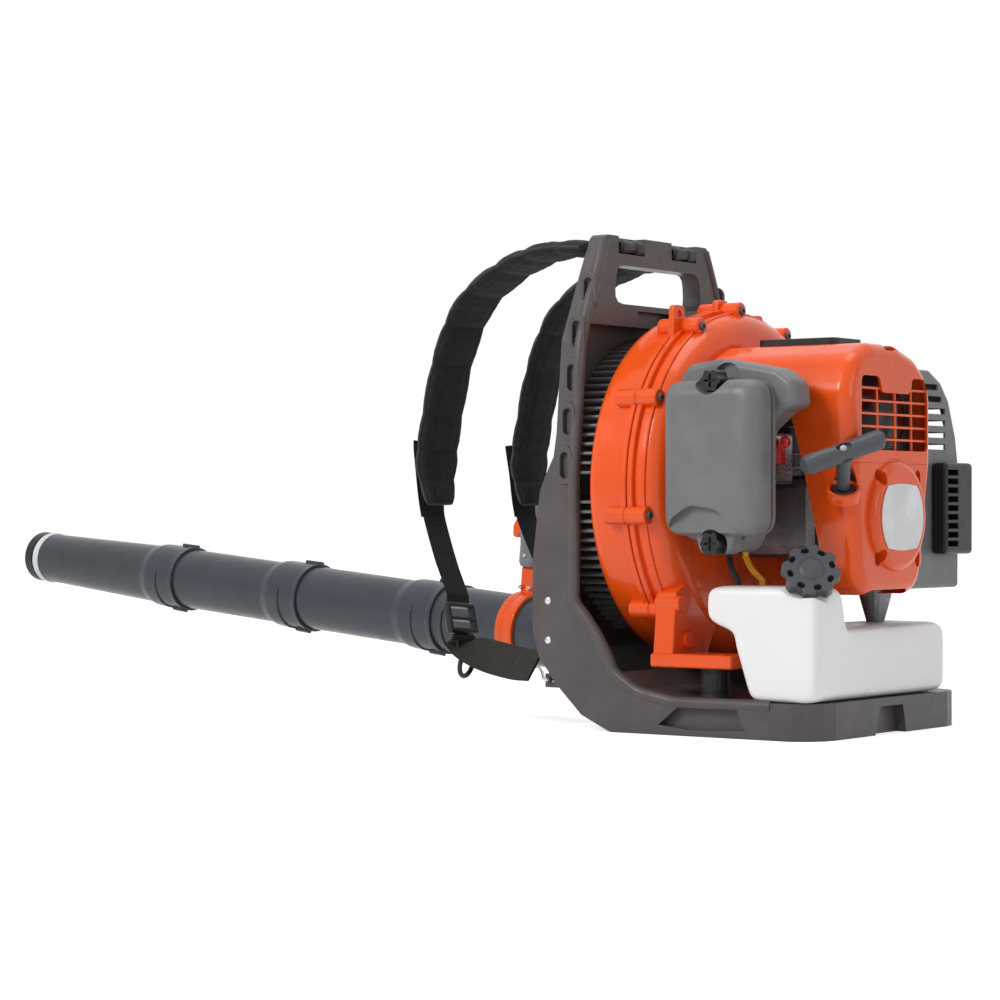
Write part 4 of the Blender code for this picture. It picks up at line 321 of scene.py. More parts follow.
def steady_normals(obj):
    obj.modifiers.new("Weights", "WEIGHTED_NORMAL").keep_sharp = True


def dress(name, finish, width):
    """A CAD node as the pack gives it, with flat faces joined again, edges rounded and its own finish."""
    obj = NODES[name]
    obj.data.materials.clear()
    obj.data.materials.append(MATERIALS[finish])
    weld = obj.modifiers.new("Weld", "WELD")
    weld.merge_threshold = 2e-6
    flat = obj.modifiers.new("Flat", "DECIMATE")
    flat.decimate_type = "DISSOLVE"
    flat.angle_limit = math.radians(0.6)
    if width:
        rounded(obj, width, 2, 32)
    steady_normals(obj)


for (finish_name, edge_width), node_names in DRESS.items():
    for node_name in node_names.split():
        dress(node_name, finish_name, edge_width)


# ---------------------------------------------------------------- modelling helpers


def add_mesh(name, mesh):
    obj = bpy.data.objects.new(name, mesh)
    bpy.context.scene.collection.objects.link(obj)
    return obj


def from_bmesh(name, bm):
    bmesh.ops.recalc_face_normals(bm, faces=bm.faces)
    mesh = bpy.data.meshes.new(name)
    bm.to_mesh(mesh)
    bm.free()
    return add_mesh(name, mesh)


def settle(obj):
    """Applies an object's modifiers and its matrix, and leaves a plain mesh in the row frame."""
    bpy.context.view_layer.update()
    mesh = bpy.data.meshes.new_from_object(obj.evaluated_get(bpy.context.evaluated_depsgraph_get()))
    mesh.transform(obj.matrix_world)
    obj.modifiers.clear()
    obj.matrix_world = Matrix.Identity(4)
    obj.data = mesh
    return obj


def combine(obj, others, operation):
    for other in others:
        modifier = obj.modifiers.new("Boolean", "BOOLEAN")
        modifier.operation = operation
        modifier.object = other
        modifier.solver = "EXACT"
    settle(obj)
    for other in others:
        bpy.data.objects.remove(other, do_unlink=True)
    return obj


def cut(obj, *others):
    return combine(obj, others, "DIFFERENCE")


def join(obj, *others):
    return combine(obj, others, "UNION")


def keep(obj, *others):
    return combine(obj, others, "INTERSECT")


def eased(obj, width, segments=3, angle=40):
    """A shape with its sharp edges rounded at once, before it is cut or joined."""
    return settle(rounded(obj, width, segments, angle))


def tidy_faces(obj):
    """Joins the flat faces that the cuts left split, so that bevels run clean."""
    bm = bmesh.new()
    bm.from_mesh(obj.data)
    bmesh.ops.remove_doubles(bm, verts=bm.verts, dist=4e-6)
    bmesh.ops.dissolve_limit(bm, angle_limit=math.radians(0.4), verts=bm.verts, edges=bm.edges)
    bm.to_mesh(obj.data)
    bm.free()
    return obj


def paint(obj, finish, angle):
    """Smooth shading, with the edges sharper than the angle kept, and the finish."""
    obj.data.shade_smooth()
    obj.data.set_sharp_from_angle(angle=math.radians(angle))
    obj.data.materials.clear()
    obj.data.materials.append(MATERIALS[finish])


def piece(obj, finish, body, *stands_for, edge=0.0, angle=35, segments=2):
    """The last step of a piece: soft edges, shading, finish, body and the CAD nodes it stands for."""
    if edge:
        settle(tidy_faces(obj))
        rounded(obj, edge, segments, angle)
    settle(obj)
    paint(obj, finish, angle)
    steady_normals(obj)
    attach(obj, body)
    if stands_for:
        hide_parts(*stands_for)
    return obj


def fillet(points, radius, steps=8):
    """The outline with each corner replaced by an arc, smaller where its sides are short."""
    found = []
    count = len(points)
    for i, point in enumerate(points):
        corner = Vector(point)
        back = Vector(points[i - 1]) - corner
        ahead = Vector(points[(i + 1) % count]) - corner
        turn = math.pi - back.angle(ahead)
        if turn < math.radians(3):
            found.append(tuple(corner))
            continue
        reach = min(radius * math.tan(turn / 2), 0.48 * back.length, 0.48 * ahead.length)
        start = corner + back.normalized() * reach
        end = corner + ahead.normalized() * reach
        for k in range(steps + 1):
            t = k / steps
            found.append(tuple(start * (1 - t) ** 2 + corner * 2 * t * (1 - t) + end * t * t))
    return found


# for each way a prism can point: the two axes of its outline, and its own
AXES = {"X": (Y_AXIS, Z_AXIS, X_AXIS), "Y": (X_AXIS, Z_AXIS, Y_AXIS), "Z": (X_AXIS, Y_AXIS, Z_AXIS)}


def prism(name, outline, low, high, axis="X"):
    """A flat outline in the plane across an axis, drawn out from low to high along it."""
    u, v, w = AXES[axis]
    return loft(name, [[u * a + v * b + w * end for a, b in outline] for end in (low, high)])


def aim(origin, direction, side=None):
    """A matrix whose local Z is the direction, with local X towards the side where one is given."""
    z = Vector(direction).normalized()
    x = Vector(side) if side is not None else (X_AXIS if abs(z.x) < 0.9 else Y_AXIS)
    x = (x - z * x.dot(z)).normalized()
    matrix = Matrix((x, z.cross(x), z)).transposed().to_4x4()
    matrix.translation = Vector(origin)
    return matrix


def placed(obj, origin, direction, side=None):
    obj.data.transform(aim(origin, direction, side))
    return obj


def block(name, low, high):
    bm = bmesh.new()
    bmesh.ops.create_cube(bm, size=1.0)
    size, middle = Vector(high) - Vector(low), (Vector(high) + Vector(low)) / 2
    bmesh.ops.transform(bm, verts=bm.verts, matrix=Matrix.Translation(middle) @ Matrix.Diagonal((*size, 1.0)))
    return from_bmesh(name, bm)


def turned(name, profile, steps=64, origin=(0, 0, 0), direction=Z_AXIS, side=None, ring=False):
    """A profile of (radius, height) turned about the direction through the origin."""
    bm = bmesh.new()
    rows = []
    for r, h in profile:
        if r < 1e-7:
            rows.append([bm.verts.new((0, 0, h))])
        else:
            rows.append([bm.verts.new((x, y, h)) for x, y in oval(r, r, steps)])
    pairs = list(zip(rows, rows[1:]))
    if ring:
        pairs.append((rows[-1], rows[0]))
    for a, b in pairs:
        for i in range(steps):
            j = (i + 1) % steps
            corners = [a[i % len(a)], a[j % len(a)], b[j % len(b)], b[i % len(b)]]
            unique = list(dict.fromkeys(corners))
            if len(unique) > 2:
                bm.faces.new(unique)
    obj = from_bmesh(name, bm)
    return placed(obj, origin, direction, side)


def cylinder(name, radius, length, origin, direction, steps=48):
    return turned(name, [(0, 0), (radius, 0), (radius, length), (0, length)], steps, origin, direction)


def curve_through(points, steps):
    """Points on a smooth curve through the given ones, steps to a span."""
    points = [Vector(p) for p in points]
    padded = [points[0] * 2 - points[1]] + points + [points[-1] * 2 - points[-2]]
    found = []
    for i in range(len(points) - 1):
        a, b, c, d = padded[i:i + 4]
        for k in range(steps):
            t = k / steps
            found.append(0.5 * (2 * b + (c - a) * t + (2 * a - 5 * b + 4 * c - d) * t ** 2
                                + (3 * b - a - 3 * c + d) * t ** 3))
    found.append(points[-1])
    return found


def carried(path, side):
    """For each point of a path: the point, a unit side that turns with it, and the unit normal."""
    frames = []
    side = Vector(side)
    for i, point in enumerate(path):
        ahead = (path[min(i + 1, len(path) - 1)] - path[max(i - 1, 0)]).normalized()
        side = (side - ahead * side.dot(ahead)).normalized()
        frames.append((point, side, ahead.cross(side)))
    return frames


def loft(name, sections):
    """A solid through closed rings of points, capped at both ends."""
    bm = bmesh.new()
    rings = [[bm.verts.new(Vector(p)) for p in section] for section in sections]
    for a, b in zip(rings, rings[1:]):
        for i in range(len(a)):
            j = (i + 1) % len(a)
            bm.faces.new((a[i], a[j], b[j], b[i]))
    bm.faces.new(rings[0][::-1])
    bm.faces.new(rings[-1])
    return from_bmesh(name, bm)


def swept(name, path, radius, steps=24, side=X_AXIS, radii=None):
    sections = []
    for i, (point, across, normal) in enumerate(carried(path, side)):
        r = radii[i] if radii else radius
        sections.append([point + across * u + normal * v for u, v in oval(r, r, steps)])
    return loft(name, sections)


def oval(across, up, count):
    """Points round an ellipse about the origin, given its two half sizes."""
    return [(across * math.cos(math.tau * i / count), up * math.sin(math.tau * i / count))
            for i in range(count)]


def squared(angle, across, up):
    """A point of a unit circle that the two powers, under 1, square off in width and height."""
    c, s = math.cos(angle), math.sin(angle)
    return math.copysign(abs(c) ** across, c), math.copysign(abs(s) ** up, s)


def lobed(radius, depth, gain, lobes, count):
    """Outline of a knob: a circle whose radius swings by the depth, in waves with clipped crests."""
    points = []
    for i in range(count):
        angle = math.tau * i / count
        reach = radius + depth * min(1.0, max(-1.0, gain * math.cos(lobes * angle)))
        points.append((reach * math.cos(angle), reach * math.sin(angle)))
    return points


def rectangle(left, right, low, high):
    return [(left, low), (right, low), (right, high), (left, high)]


def bead(inner, outer, width, fall, run):
    """Half section of a ring, as (radius, height): the fall and the run cut its outer corners."""
    return [(inner, 0), (outer - fall, 0), (outer, run), (outer, width - run), (outer - fall, width),
            (inner, width)]


def capsule(width, height):
    """Outline of a slot with round ends, about the origin."""
    r = min(width, height) / 2
    dx, dy = width / 2 - r, height / 2 - r
    points = []
    for quarter, (sx, sy) in enumerate(((1, 1), (-1, 1), (-1, -1), (1, -1))):
        for k in range(7):
            angle = math.pi / 2 * (quarter + k / 6)
            points.append((sx * dx + r * math.cos(angle), sy * dy + r * math.sin(angle)))
    return list(dict.fromkeys((round(x, 7), round(y, 7)) for x, y in points))


def shifted(outline, x, y):
    return [(a + x, b + y) for a, b in outline]


def screw(name, place, direction, radius, body, finish="steel"):
    """A pan head screw with a hexagon socket."""
    r = radius
    head = turned(name, [(0, -0.001), (r, -0.001), (r, r * 0.35), (r * 0.85, r * 0.62), (r * 0.45, r * 0.70),
                         (0, r * 0.70)], 24, place, direction)
    hole = prism(name + "_hole", oval(r * 0.46, r * 0.46, 6), r * 0.18, r * 1.2, "Z")
    cut(head, placed(hole, place, direction))
    piece(head, finish, body)


# ---------------------------------------------------------------- engine cowl and recoil starter

WALL = 0.0025                   # thickness of the hood's and the fan housing's walls
CRANK = Vector((0.004, 0, 0.216))
HOOD_REAR_Y = -0.170
HOOD_FRONT_Y = -0.0043
HOOD_BOTTOM_Z = 0.137
HOOD_SPLIT_Z = 0.268
HOOD_TOP_Z = 0.387
STARTER_RADIUS = 0.055
PULL_POINT = Vector((-0.079, -0.158, 0.240))
PULL_DIRECTION = Vector((-0.45, -0.25, 0.857)).normalized()
GRIP_DIRECTION = Vector((0.834, -0.462, 0.303)).normalized()
GRIP_RISE = 0.044
SCREWS = ((-0.032, 0.254), (0.051, 0.254), (-0.032, 0.175), (0.051, 0.173))


def hood_outline(t):
    """The cowl and starter housing seen from behind, drawn in by t."""
    points = [(-0.070 + t, HOOD_BOTTOM_Z), (-0.080 + t, HOOD_SPLIT_Z), (-0.090 + t, 0.338),
              (-0.076 + t, 0.372 - t), (-0.040, HOOD_TOP_Z - t), (0.012, HOOD_TOP_Z - t),
              (0.050 - t, 0.376 - t), (0.072 - t, 0.361 - t), (0.084 - t, 0.338 - t),
              (0.084 - t, HOOD_SPLIT_Z), (0.060 - t, HOOD_BOTTOM_Z)]
    return fillet(points, 0.035, 5)


def hood_shell(name):
    """The whole moulded hood, thin-walled and open below, that cowl and starter housing are cut from."""
    shell = prism(name, hood_outline(0), HOOD_REAR_Y, 0.030, "Y")
    eased(shell, 0.014, 7, 50)
    inner = [(x, HOOD_BOTTOM_Z - 0.02 if z < HOOD_BOTTOM_Z + 0.001 else z) for x, z in hood_outline(WALL)]
    hollow = prism(name + "_inner", inner, HOOD_REAR_Y + WALL, 0.060, "Y")
    eased(hollow, 0.0115, 4, 50)
    front = block(name + "_front", (-0.2, HOOD_FRONT_Y, 0), (0.2, 0.1, 0.5))
    outline = [(0.05, 0.12), (-0.140, 0.12), (-0.104, 0.315), (-0.088, 0.333), (0.05, 0.333)]
    left = prism(name + "_left", fillet(outline, 0.010), -0.12, -0.05)
    outline = [(0.05, 0.10), (-0.130, 0.10), (-0.130, 0.340), (0.05, 0.340)]
    right = prism(name + "_right", fillet(outline, 0.010), 0.045, 0.12)
    return cut(shell, hollow, front, left, right)


def arch(name, grow):
    """What belongs to the starter housing: the lower band and the disc that stands up into the cowl."""
    band = block(name, (-0.2, -0.2, 0.0), (0.2, 0.1, HOOD_SPLIT_Z + grow))
    disc = cylinder(name + "_disc", STARTER_RADIUS + 0.001 + grow, 0.040,
                    (CRANK.x, HOOD_REAR_Y - 0.02, CRANK.z), Y_AXIS, 96)
    return join(band, disc)


GRILLE = [(-0.064, 0.281), (0.072, 0.281), (0.072, 0.354), (0.040, 0.354), (0.034, 0.338), (-0.022, 0.338),
          (-0.028, 0.354), (-0.064, 0.354)]


def make_cowl():
    """The upper part of the hood, with its grille and the dark lining behind it."""
    cowl = cut(hood_shell("cowl"), arch("cowl_arch", 0.0003),
               prism("grille_hole", fillet(GRILLE, 0.007, 5), HOOD_REAR_Y - 0.01, HOOD_REAR_Y + 0.010, "Y"))
    slot = prism("top_dimple", fillet([(-0.012, 0.3805), (0.016, 0.3805), (0.013, 0.3935),
                                       (-0.009, 0.3935)], 0.002), HOOD_REAR_Y - 0.01, HOOD_REAR_Y + 0.020,
                 "Y")
    cut(cowl, slot)
    piece(cowl, "orange_plastic", "machine", "engine_cowl", edge=0.0009, segments=3)
    bars = []
    for i in range(5):
        z = 0.281 + 0.0126 * (i + 0.85)
        bars.append(((-0.067, z), (0.075, z), 0.0011))
    for x, top in ((-0.024, 0.342), (0.012, 0.342), (0.046, 0.357)):
        bars.append(((x, 0.279), (x - 0.0015, top), 0.0014))
    for i, ((x0, z0), (x1, z1), r) in enumerate(bars):
        y = HOOD_REAR_Y + 0.0034 + (0.0018 if i >= 5 else 0)
        path = [Vector((x0 + (x1 - x0) * k / 6, y, z0 + (z1 - z0) * k / 6)) for k in range(7)]
        piece(swept(f"grille_bar_{i}", path, r * 1.25, 12, Y_AXIS), "orange_plastic", "machine")
    lining = prism("grille_lining", fillet(rectangle(-0.0679, 0.07469, 0.27535, 0.35785), 0.006),
                   HOOD_REAR_Y + 0.018, HOOD_REAR_Y + 0.0195, "Y")
    window = prism("lining_window", capsule(0.100, 0.062), HOOD_REAR_Y, HOOD_REAR_Y + 0.03, "Y")
    window.data.transform(Matrix.Translation((0.006, 0, 0.315)))
    piece(cut(lining, window), "black_plastic", "machine")


def make_cap_strip():
    strip = prism("cowl_vent", fillet(rectangle(-0.030, 0.030, -0.120, -0.030), 0.010),
                  HOOD_TOP_Z + 0.0003, HOOD_TOP_Z + 0.0073, "Z")
    slots = [prism(f"vent_slot_{i}", shifted(capsule(0.044, 0.0045), 0, -0.108 + i * 0.011),
                   HOOD_TOP_Z + 0.0035, HOOD_TOP_Z + 0.02, "Z") for i in range(7)]
    piece(cut(strip, *slots), "black_plastic", "machine", "cowl_cap", edge=0.0008)


def make_starter_housing():
    """The lower part of the hood: boss over the pulley, collar round the grip, four screws in pits."""
    housing = keep(hood_shell("starter"), arch("starter_keep", 0.0))
    rear = HOOD_REAR_Y + 0.002
    radius = STARTER_RADIUS
    dome = [(0, 0), (radius, 0), (radius, 0.0025)]
    dome += shifted(oval(0.009, 0.0075, 24)[1:7], radius - 0.009, 0.0025)
    dome.append((0, 0.010))
    boss = turned("starter_boss", dome, 96, (CRANK.x, rear, CRANK.z), -Y_AXIS)
    profile = [(0, -0.008), (0.0165, -0.008), (0.0175, 0.000), (0.0165, 0.0035), (0.0150, 0.0045),
               (0, 0.0045)]
    collar = turned("pull_collar", profile, 48, PULL_POINT, PULL_DIRECTION)
    post = cylinder("pulley_post", 0.0048, 0.031, (CRANK.x, rear, CRANK.z), Y_AXIS, 32)
    posts = [cylinder("screw_post", 0.0100, 0.012, (x, HOOD_REAR_Y + 0.001, z), Y_AXIS, 32)
             for x, z in SCREWS]
    pits = [prism("screw_pit", shifted(capsule(0.0105, 0.0165), x, z), HOOD_REAR_Y - 0.012,
                  HOOD_REAR_Y + 0.009, "Y") for x, z in SCREWS]
    join(housing, boss, collar, post, *posts)
    profile = [(0, -0.0045), (0.0112, -0.0045), (0.0112, 0.000), (0.0128, 0.003), (0.0150, 0.0062),
               (0.0150, 0.04), (0, 0.04)]
    scoop = turned("pull_scoop", profile, 48, PULL_POINT, PULL_DIRECTION)
    rope_way = cylinder("rope_way", 0.005, 0.03, PULL_POINT - PULL_DIRECTION * 0.025, PULL_DIRECTION, 24)
    cut(housing, scoop, rope_way, *pits)
    piece(housing, "orange_plastic", "machine", "starter_housing", edge=0.0009, segments=3)
    for i, (x, z) in enumerate(SCREWS):
        screw(f"starter_screw_{i}", (x, HOOD_REAR_Y + 0.0085, z), -Y_AXIS, 0.0042, "machine", "case_metal")


def make_badge():
    """A bare badge: a disc with its top and bottom cut nearly flat."""
    r, half_height, crown = 0.0425, 0.031, 0.0022
    reach = math.asin(half_height / r)
    angles = [reach * (2 * k / 16 - 1) for k in range(17)]
    half = [(r * math.cos(angle), r * math.sin(angle)) for angle in angles]
    half += [(r * math.cos(reach) * (1 - 2 * k / 8), half_height + crown * math.sin(math.pi * k / 8))
             for k in range(1, 8)]
    ring = fillet(half + [(-x, -z) for x, z in half], 0.004, 4)
    badge = prism("badge", shifted(ring, CRANK.x - 0.001, CRANK.z - 0.001), HOOD_REAR_Y - 0.0095,
                  HOOD_REAR_Y - 0.0083, "Y")
    piece(badge, "badge_white", "machine", "starter_badge", edge=0.0004)


def make_grip():
    """The T grip: a bar with flat faces and round ends, an oval pocket for the knot, and its stem."""
    middle = PULL_POINT + PULL_DIRECTION * GRIP_RISE
    half = 0.046
    side = GRIP_DIRECTION.cross(PULL_DIRECTION).normalized()
    sections = []
    for k in range(-12, 13):
        t = k / 12
        shrink = 1 - 0.55 * max(0.0, abs(t) - 0.90) / 0.10 * 0.45
        tall = 0.0095 * (0.92 + 0.10 * t * t) * shrink
        wide = 0.0088 * (1.0 - 0.10 * (1 - t * t)) * shrink
        ring = []
        for i in range(32):
            u, v = squared(math.tau * i / 32, 0.55, 0.55)
            pinch = 1.0 - 0.18 * max(0.0, v)
            ring.append(middle + GRIP_DIRECTION * (t * half * (1 - 0.004 * (abs(v) > 0.9)))
                        + side * u * wide * pinch + PULL_DIRECTION * v * tall)
        sections.append(ring)
    bar = loft("pull_grip", sections)
    stem = turned("pull_stem", [(0, -0.0397), (0.0062, -0.0397), (0.0064, -0.030), (0.0072, -0.014),
                                (0.0100, -0.006), (0, -0.002)], 32, middle, PULL_DIRECTION)
    join(bar, stem)
    view = Vector((-0.80, -0.59, 0.0))
    hole_way = (PULL_DIRECTION * 0.75 + view * 0.45).normalized()
    pocket = prism("knot_pocket", oval(0.0085, 0.0052, 32), 0.0045, 0.03, "Z")
    placed(pocket, middle, hole_way, GRIP_DIRECTION)
    cut(bar, pocket)
    piece(bar, "cap_grey", "starter_pull", "starter_grip", edge=0.0008, segments=3, angle=45)
    knot = bmesh.new()
    bmesh.ops.create_uvsphere(knot, u_segments=24, v_segments=14, radius=0.0036)
    ball = from_bmesh("rope_knot", knot)
    ball.data.transform(Matrix.Translation(middle + hole_way * 0.0052)
                        @ Matrix.Diagonal((1.25, 0.9, 1.0, 1.0)))
    piece(ball, "rope", "starter_pull")


# ---------------------------------------------------------------- tank and its cap

CAP_CENTRE = Vector((-0.133, -0.153, 0.163))
CAP_DIRECTION = Vector((-0.68, -0.50, 0.54)).normalized()
CAP_RADIUS = 0.0285
CAP_HEIGHT = 0.017
CAP_SEAT = CAP_CENTRE - CAP_DIRECTION * (CAP_HEIGHT / 2 + 0.001)
TANK_FLOOR = 0.0363


def make_fuel_cap():
    cap = prism("tank_cap", lobed(CAP_RADIUS - 0.0022, 0.0022, 1.7, 8, 144), 0.0, CAP_HEIGHT - 0.003, "Z")
    eased(cap, 0.0016, 3, 50)
    pockets = []
    for i in range(8):
        pocket = prism("cap_pocket", shifted(capsule(0.0058, 0.0082), 0.0208, 0), 0.0065, 0.05, "Z")
        pocket.data.transform(Matrix.Rotation(math.tau * (i + 0.5) / 8, 4, "Z"))
        pockets.append(pocket)
    top = CAP_HEIGHT
    dome = turned("cap_dome", [(0, 0.004), (0.0125, 0.004), (0.0125, top - 0.003), (0.0110, top - 0.0012),
                               (0.0080, top - 0.0003), (0, top)], 48)
    well = cylinder("cap_well", 0.0164, 0.009, (0, 0, -0.001), Z_AXIS, 48)
    cut(cap, *pockets)
    join(cap, dome)
    cut(cap, well)
    placed(cap, CAP_SEAT, CAP_DIRECTION)
    piece(cap, "cap_grey", "fuel_cap", "fuel_cap", edge=0.0006, angle=50)


def make_tank():
    """Blow moulded: one thin skin with every edge drawn round."""
    left, right, rear, top = -0.155, 0.113, -0.170, 0.108
    flank = [(rear, TANK_FLOOR), (-0.096, TANK_FLOOR), (-0.073, top), (rear, top)]
    tank = prism("tank", fillet(flank, 0.014), left, right)
    filler = [(rear, 0.060), (-0.104, 0.060), (-0.084, 0.100), (-0.046, 0.114), (-0.046, 0.148),
              (rear, 0.148)]
    step = [(left, 0.06), (-0.098, 0.06), (-0.088, 0.1065), (-0.098, 0.148), (left, 0.148)]
    upper = keep(prism("tank_upper", fillet(filler, 0.014), left, -0.07),
                 prism("tank_step", step, -0.3, 0.1, "Y"))
    join(tank, upper)
    remesh = tank.modifiers.new("Remesh", "REMESH")
    remesh.mode = "VOXEL"
    remesh.voxel_size = 0.0024
    relax = tank.modifiers.new("Relax", "SMOOTH")
    relax.factor = 0.5
    relax.iterations = 60
    settle(tank)
    low, high = Vector((left, rear, TANK_FLOOR)), Vector((right, -0.046, 0.148))
    found_low = Vector((min(v.co[i] for v in tank.data.vertices) for i in range(3)))
    found_high = Vector((max(v.co[i] for v in tank.data.vertices) for i in range(3)))
    for vertex in tank.data.vertices:
        for i in range(3):
            share = (vertex.co[i] - found_low[i]) / (found_high[i] - found_low[i])
            vertex.co[i] = low[i] + share * (high[i] - low[i])
    cut(tank, cylinder("cap_seat", CAP_RADIUS + 0.005, 0.06, CAP_SEAT - CAP_DIRECTION * 0.0003,
                       CAP_DIRECTION, 64))
    neck = cylinder("tank_neck", 0.0157, 0.0214, CAP_SEAT - CAP_DIRECTION * 0.014, CAP_DIRECTION, 40)
    join(tank, neck)
    piece(tank, "tank_poly", "machine", "fuel_tank", angle=60)


# ---------------------------------------------------------------- air filter

FILTER_FACE_X = -0.178
FILTER_SEAT_X = -0.140
KNOB_Y = -0.063
KNOB_HEIGHTS = (0.347, 0.189)


def filter_outline(t, corner):
    rear, front, bottom, top = -0.118 + t, -0.008 - t, 0.197 + t, 0.348 - t
    return fillet(rectangle(rear, front, bottom, top), corner, 10)


def filter_section(x, t, corner):
    return [Vector((x, y, z)) for y, z in filter_outline(t, corner)]


def make_filter_cover():
    """A lid with round shoulders, a groove round its rim and recesses for both knobs, hollow inside."""
    depth, shoulder = FILTER_SEAT_X - FILTER_FACE_X, 0.017
    sections = [filter_section(FILTER_SEAT_X - 0.0003, 0.0, 0.020),
                filter_section(FILTER_SEAT_X - 0.006, 0.0, 0.020)]
    for k in range(9):
        angle = math.pi / 2 * k / 8
        sections.append(filter_section(FILTER_SEAT_X - (depth - shoulder) - shoulder * math.sin(angle),
                                       shoulder * (1 - math.cos(angle)), 0.020 - 0.004 * k / 8))
    cover = loft("filter_lid", sections)
    lobe = prism("lid_lobe", fillet([(KNOB_Y - 0.018, 0.179), (KNOB_Y + 0.018, 0.179),
                                     (KNOB_Y + 0.027, 0.215), (KNOB_Y - 0.027, 0.215)], 0.010),
                 FILTER_SEAT_X - 0.024, FILTER_SEAT_X - 0.0003)
    eased(lobe, 0.005, 4, 50)
    join(cover, lobe)
    band = prism("lid_groove", filter_outline(-0.004, 0.022), FILTER_SEAT_X - 0.0085, FILTER_SEAT_X - 0.0055)
    cut(band, prism("lid_groove_core", filter_outline(0.0022, 0.018), FILTER_SEAT_X - 0.02, FILTER_SEAT_X))
    cut(cover, band)
    notch = cylinder("lid_notch", 0.0175, 0.050, (FILTER_SEAT_X - 0.012, KNOB_Y, 0.3510), -X_AXIS, 64)
    scoop = cylinder("lid_scoop", 0.0150, 0.0500, (FILTER_SEAT_X - 0.016, KNOB_Y, 0.1880), -X_AXIS, 64)
    arch_cut = prism("lid_arch", fillet([(KNOB_Y - 0.030, 0.170), (KNOB_Y + 0.050, 0.170),
                                         (KNOB_Y + 0.047, 0.210), (KNOB_Y + 0.020, 0.227),
                                         (KNOB_Y - 0.012, 0.222), (KNOB_Y - 0.034, 0.196)], 0.020),
                     FILTER_FACE_X - 0.01, FILTER_FACE_X + 0.0075)
    cut(cover, notch, scoop, arch_cut)
    hollow = prism("lid_hollow", fillet(rectangle(-0.112, -0.014, 0.208, 0.332), 0.012, 6),
                   FILTER_SEAT_X + 0.01, FILTER_FACE_X + 0.012)
    cut(cover, hollow)
    for z in KNOB_HEIGHTS:
        cut(cover, cylinder("lid_hole", 0.0034, 0.06, (FILTER_SEAT_X + 0.005, KNOB_Y, z), -X_AXIS, 24))
    piece(cover, "cover_grey", "filter_cover", "filter_cover", edge=0.0016, segments=4, angle=38)


def make_knob(name, body, node, z):
    """A lobed knob with a cross slot, on the stem that runs through the lid."""
    outline = shifted(lobed(0.0106, 0.0010, 1.8, 6, 60), KNOB_Y, z)
    knob = prism(name, outline, FILTER_FACE_X + 0.006, FILTER_SEAT_X - 0.0125)
    cross = [block(name + f"_slot_{i}", (FILTER_FACE_X - 0.01, KNOB_Y - a, z - b),
                   (FILTER_FACE_X + 0.0095, KNOB_Y + a, z + b))
             for i, (a, b) in enumerate(((0.0065, 0.0011), (0.0011, 0.0065)))]
    cut(knob, *cross)
    stem = cylinder(name + "_stem", 0.003, 0.020, (FILTER_SEAT_X - 0.0003, KNOB_Y, z), -X_AXIS, 24)
    join(knob, stem)
    piece(knob, "black_plastic", body, node, edge=0.0007)


def make_filter_base():
    outline = [(-0.006, 0.352), (-0.018, 0.366), (-0.055, 0.3705), (-0.118, 0.359), (-0.137, 0.346),
               (-0.140, 0.322), (-0.125, 0.317), (-0.104, 0.300), (-0.094, 0.283), (-0.094, 0.205),
               (-0.080, 0.181), (-0.046, 0.181), (-0.030, 0.190), (-0.008, 0.196)]
    base = prism("intake_housing", fillet(outline, 0.016, 6), FILTER_SEAT_X, -0.105)
    eased(base, 0.0075, 5, 50)
    well = cylinder("knob_pocket", 0.0150, 0.02, (FILTER_SEAT_X + 0.006, KNOB_Y, 0.351), -X_AXIS, 48)
    port = cylinder("intake_port", 0.012, 0.08, (FILTER_SEAT_X - 0.02, -0.058, 0.273), X_AXIS, 40)
    cut(base, well, port)
    for z in KNOB_HEIGHTS:
        join(base, cylinder("knob_post", 0.0052, 0.0077, (FILTER_SEAT_X + 0.008, KNOB_Y, z), -X_AXIS, 24))
    piece(base, "cover_grey", "machine", "filter_base", edge=0.0012, segments=3, angle=38)


# ---------------------------------------------------------------- harness

PAD_X = 0.085
BACK_Y = 0.133
PAD_WIDTH = 0.066
PAD_THICKNESS = 0.017
PAD_CHANNELS = 10
WEB_WIDTH = 0.038
WEB_THICKNESS = 0.0018
BUCKLE_TOP = Vector((PAD_X + 0.007, BACK_Y + 0.1700, 0.124))
BUCKLE_BOTTOM = Vector((PAD_X + 0.010, BACK_Y + 0.1610, 0.090))
BUCKLE_UP = (BUCKLE_TOP - BUCKLE_BOTTOM).normalized()
PAD_POINTS = [(PAD_X + 0.004, BACK_Y - 0.0034, 0.492), (PAD_X + 0.003, BACK_Y + 0.045, 0.492),
              (PAD_X, BACK_Y + 0.098, 0.478), (PAD_X, BACK_Y + 0.150, 0.444), (PAD_X, BACK_Y + 0.180, 0.390),
              (PAD_X, BACK_Y + 0.198, 0.319), (PAD_X, BACK_Y + 0.205, 0.268), (PAD_X, BACK_Y + 0.200, 0.228)]


def mirrored(points, sign):
    """The points of the wearer's right side, or of the left one where the sign is -1."""
    return [Vector((p[0] * sign, p[1], p[2])) for p in points]


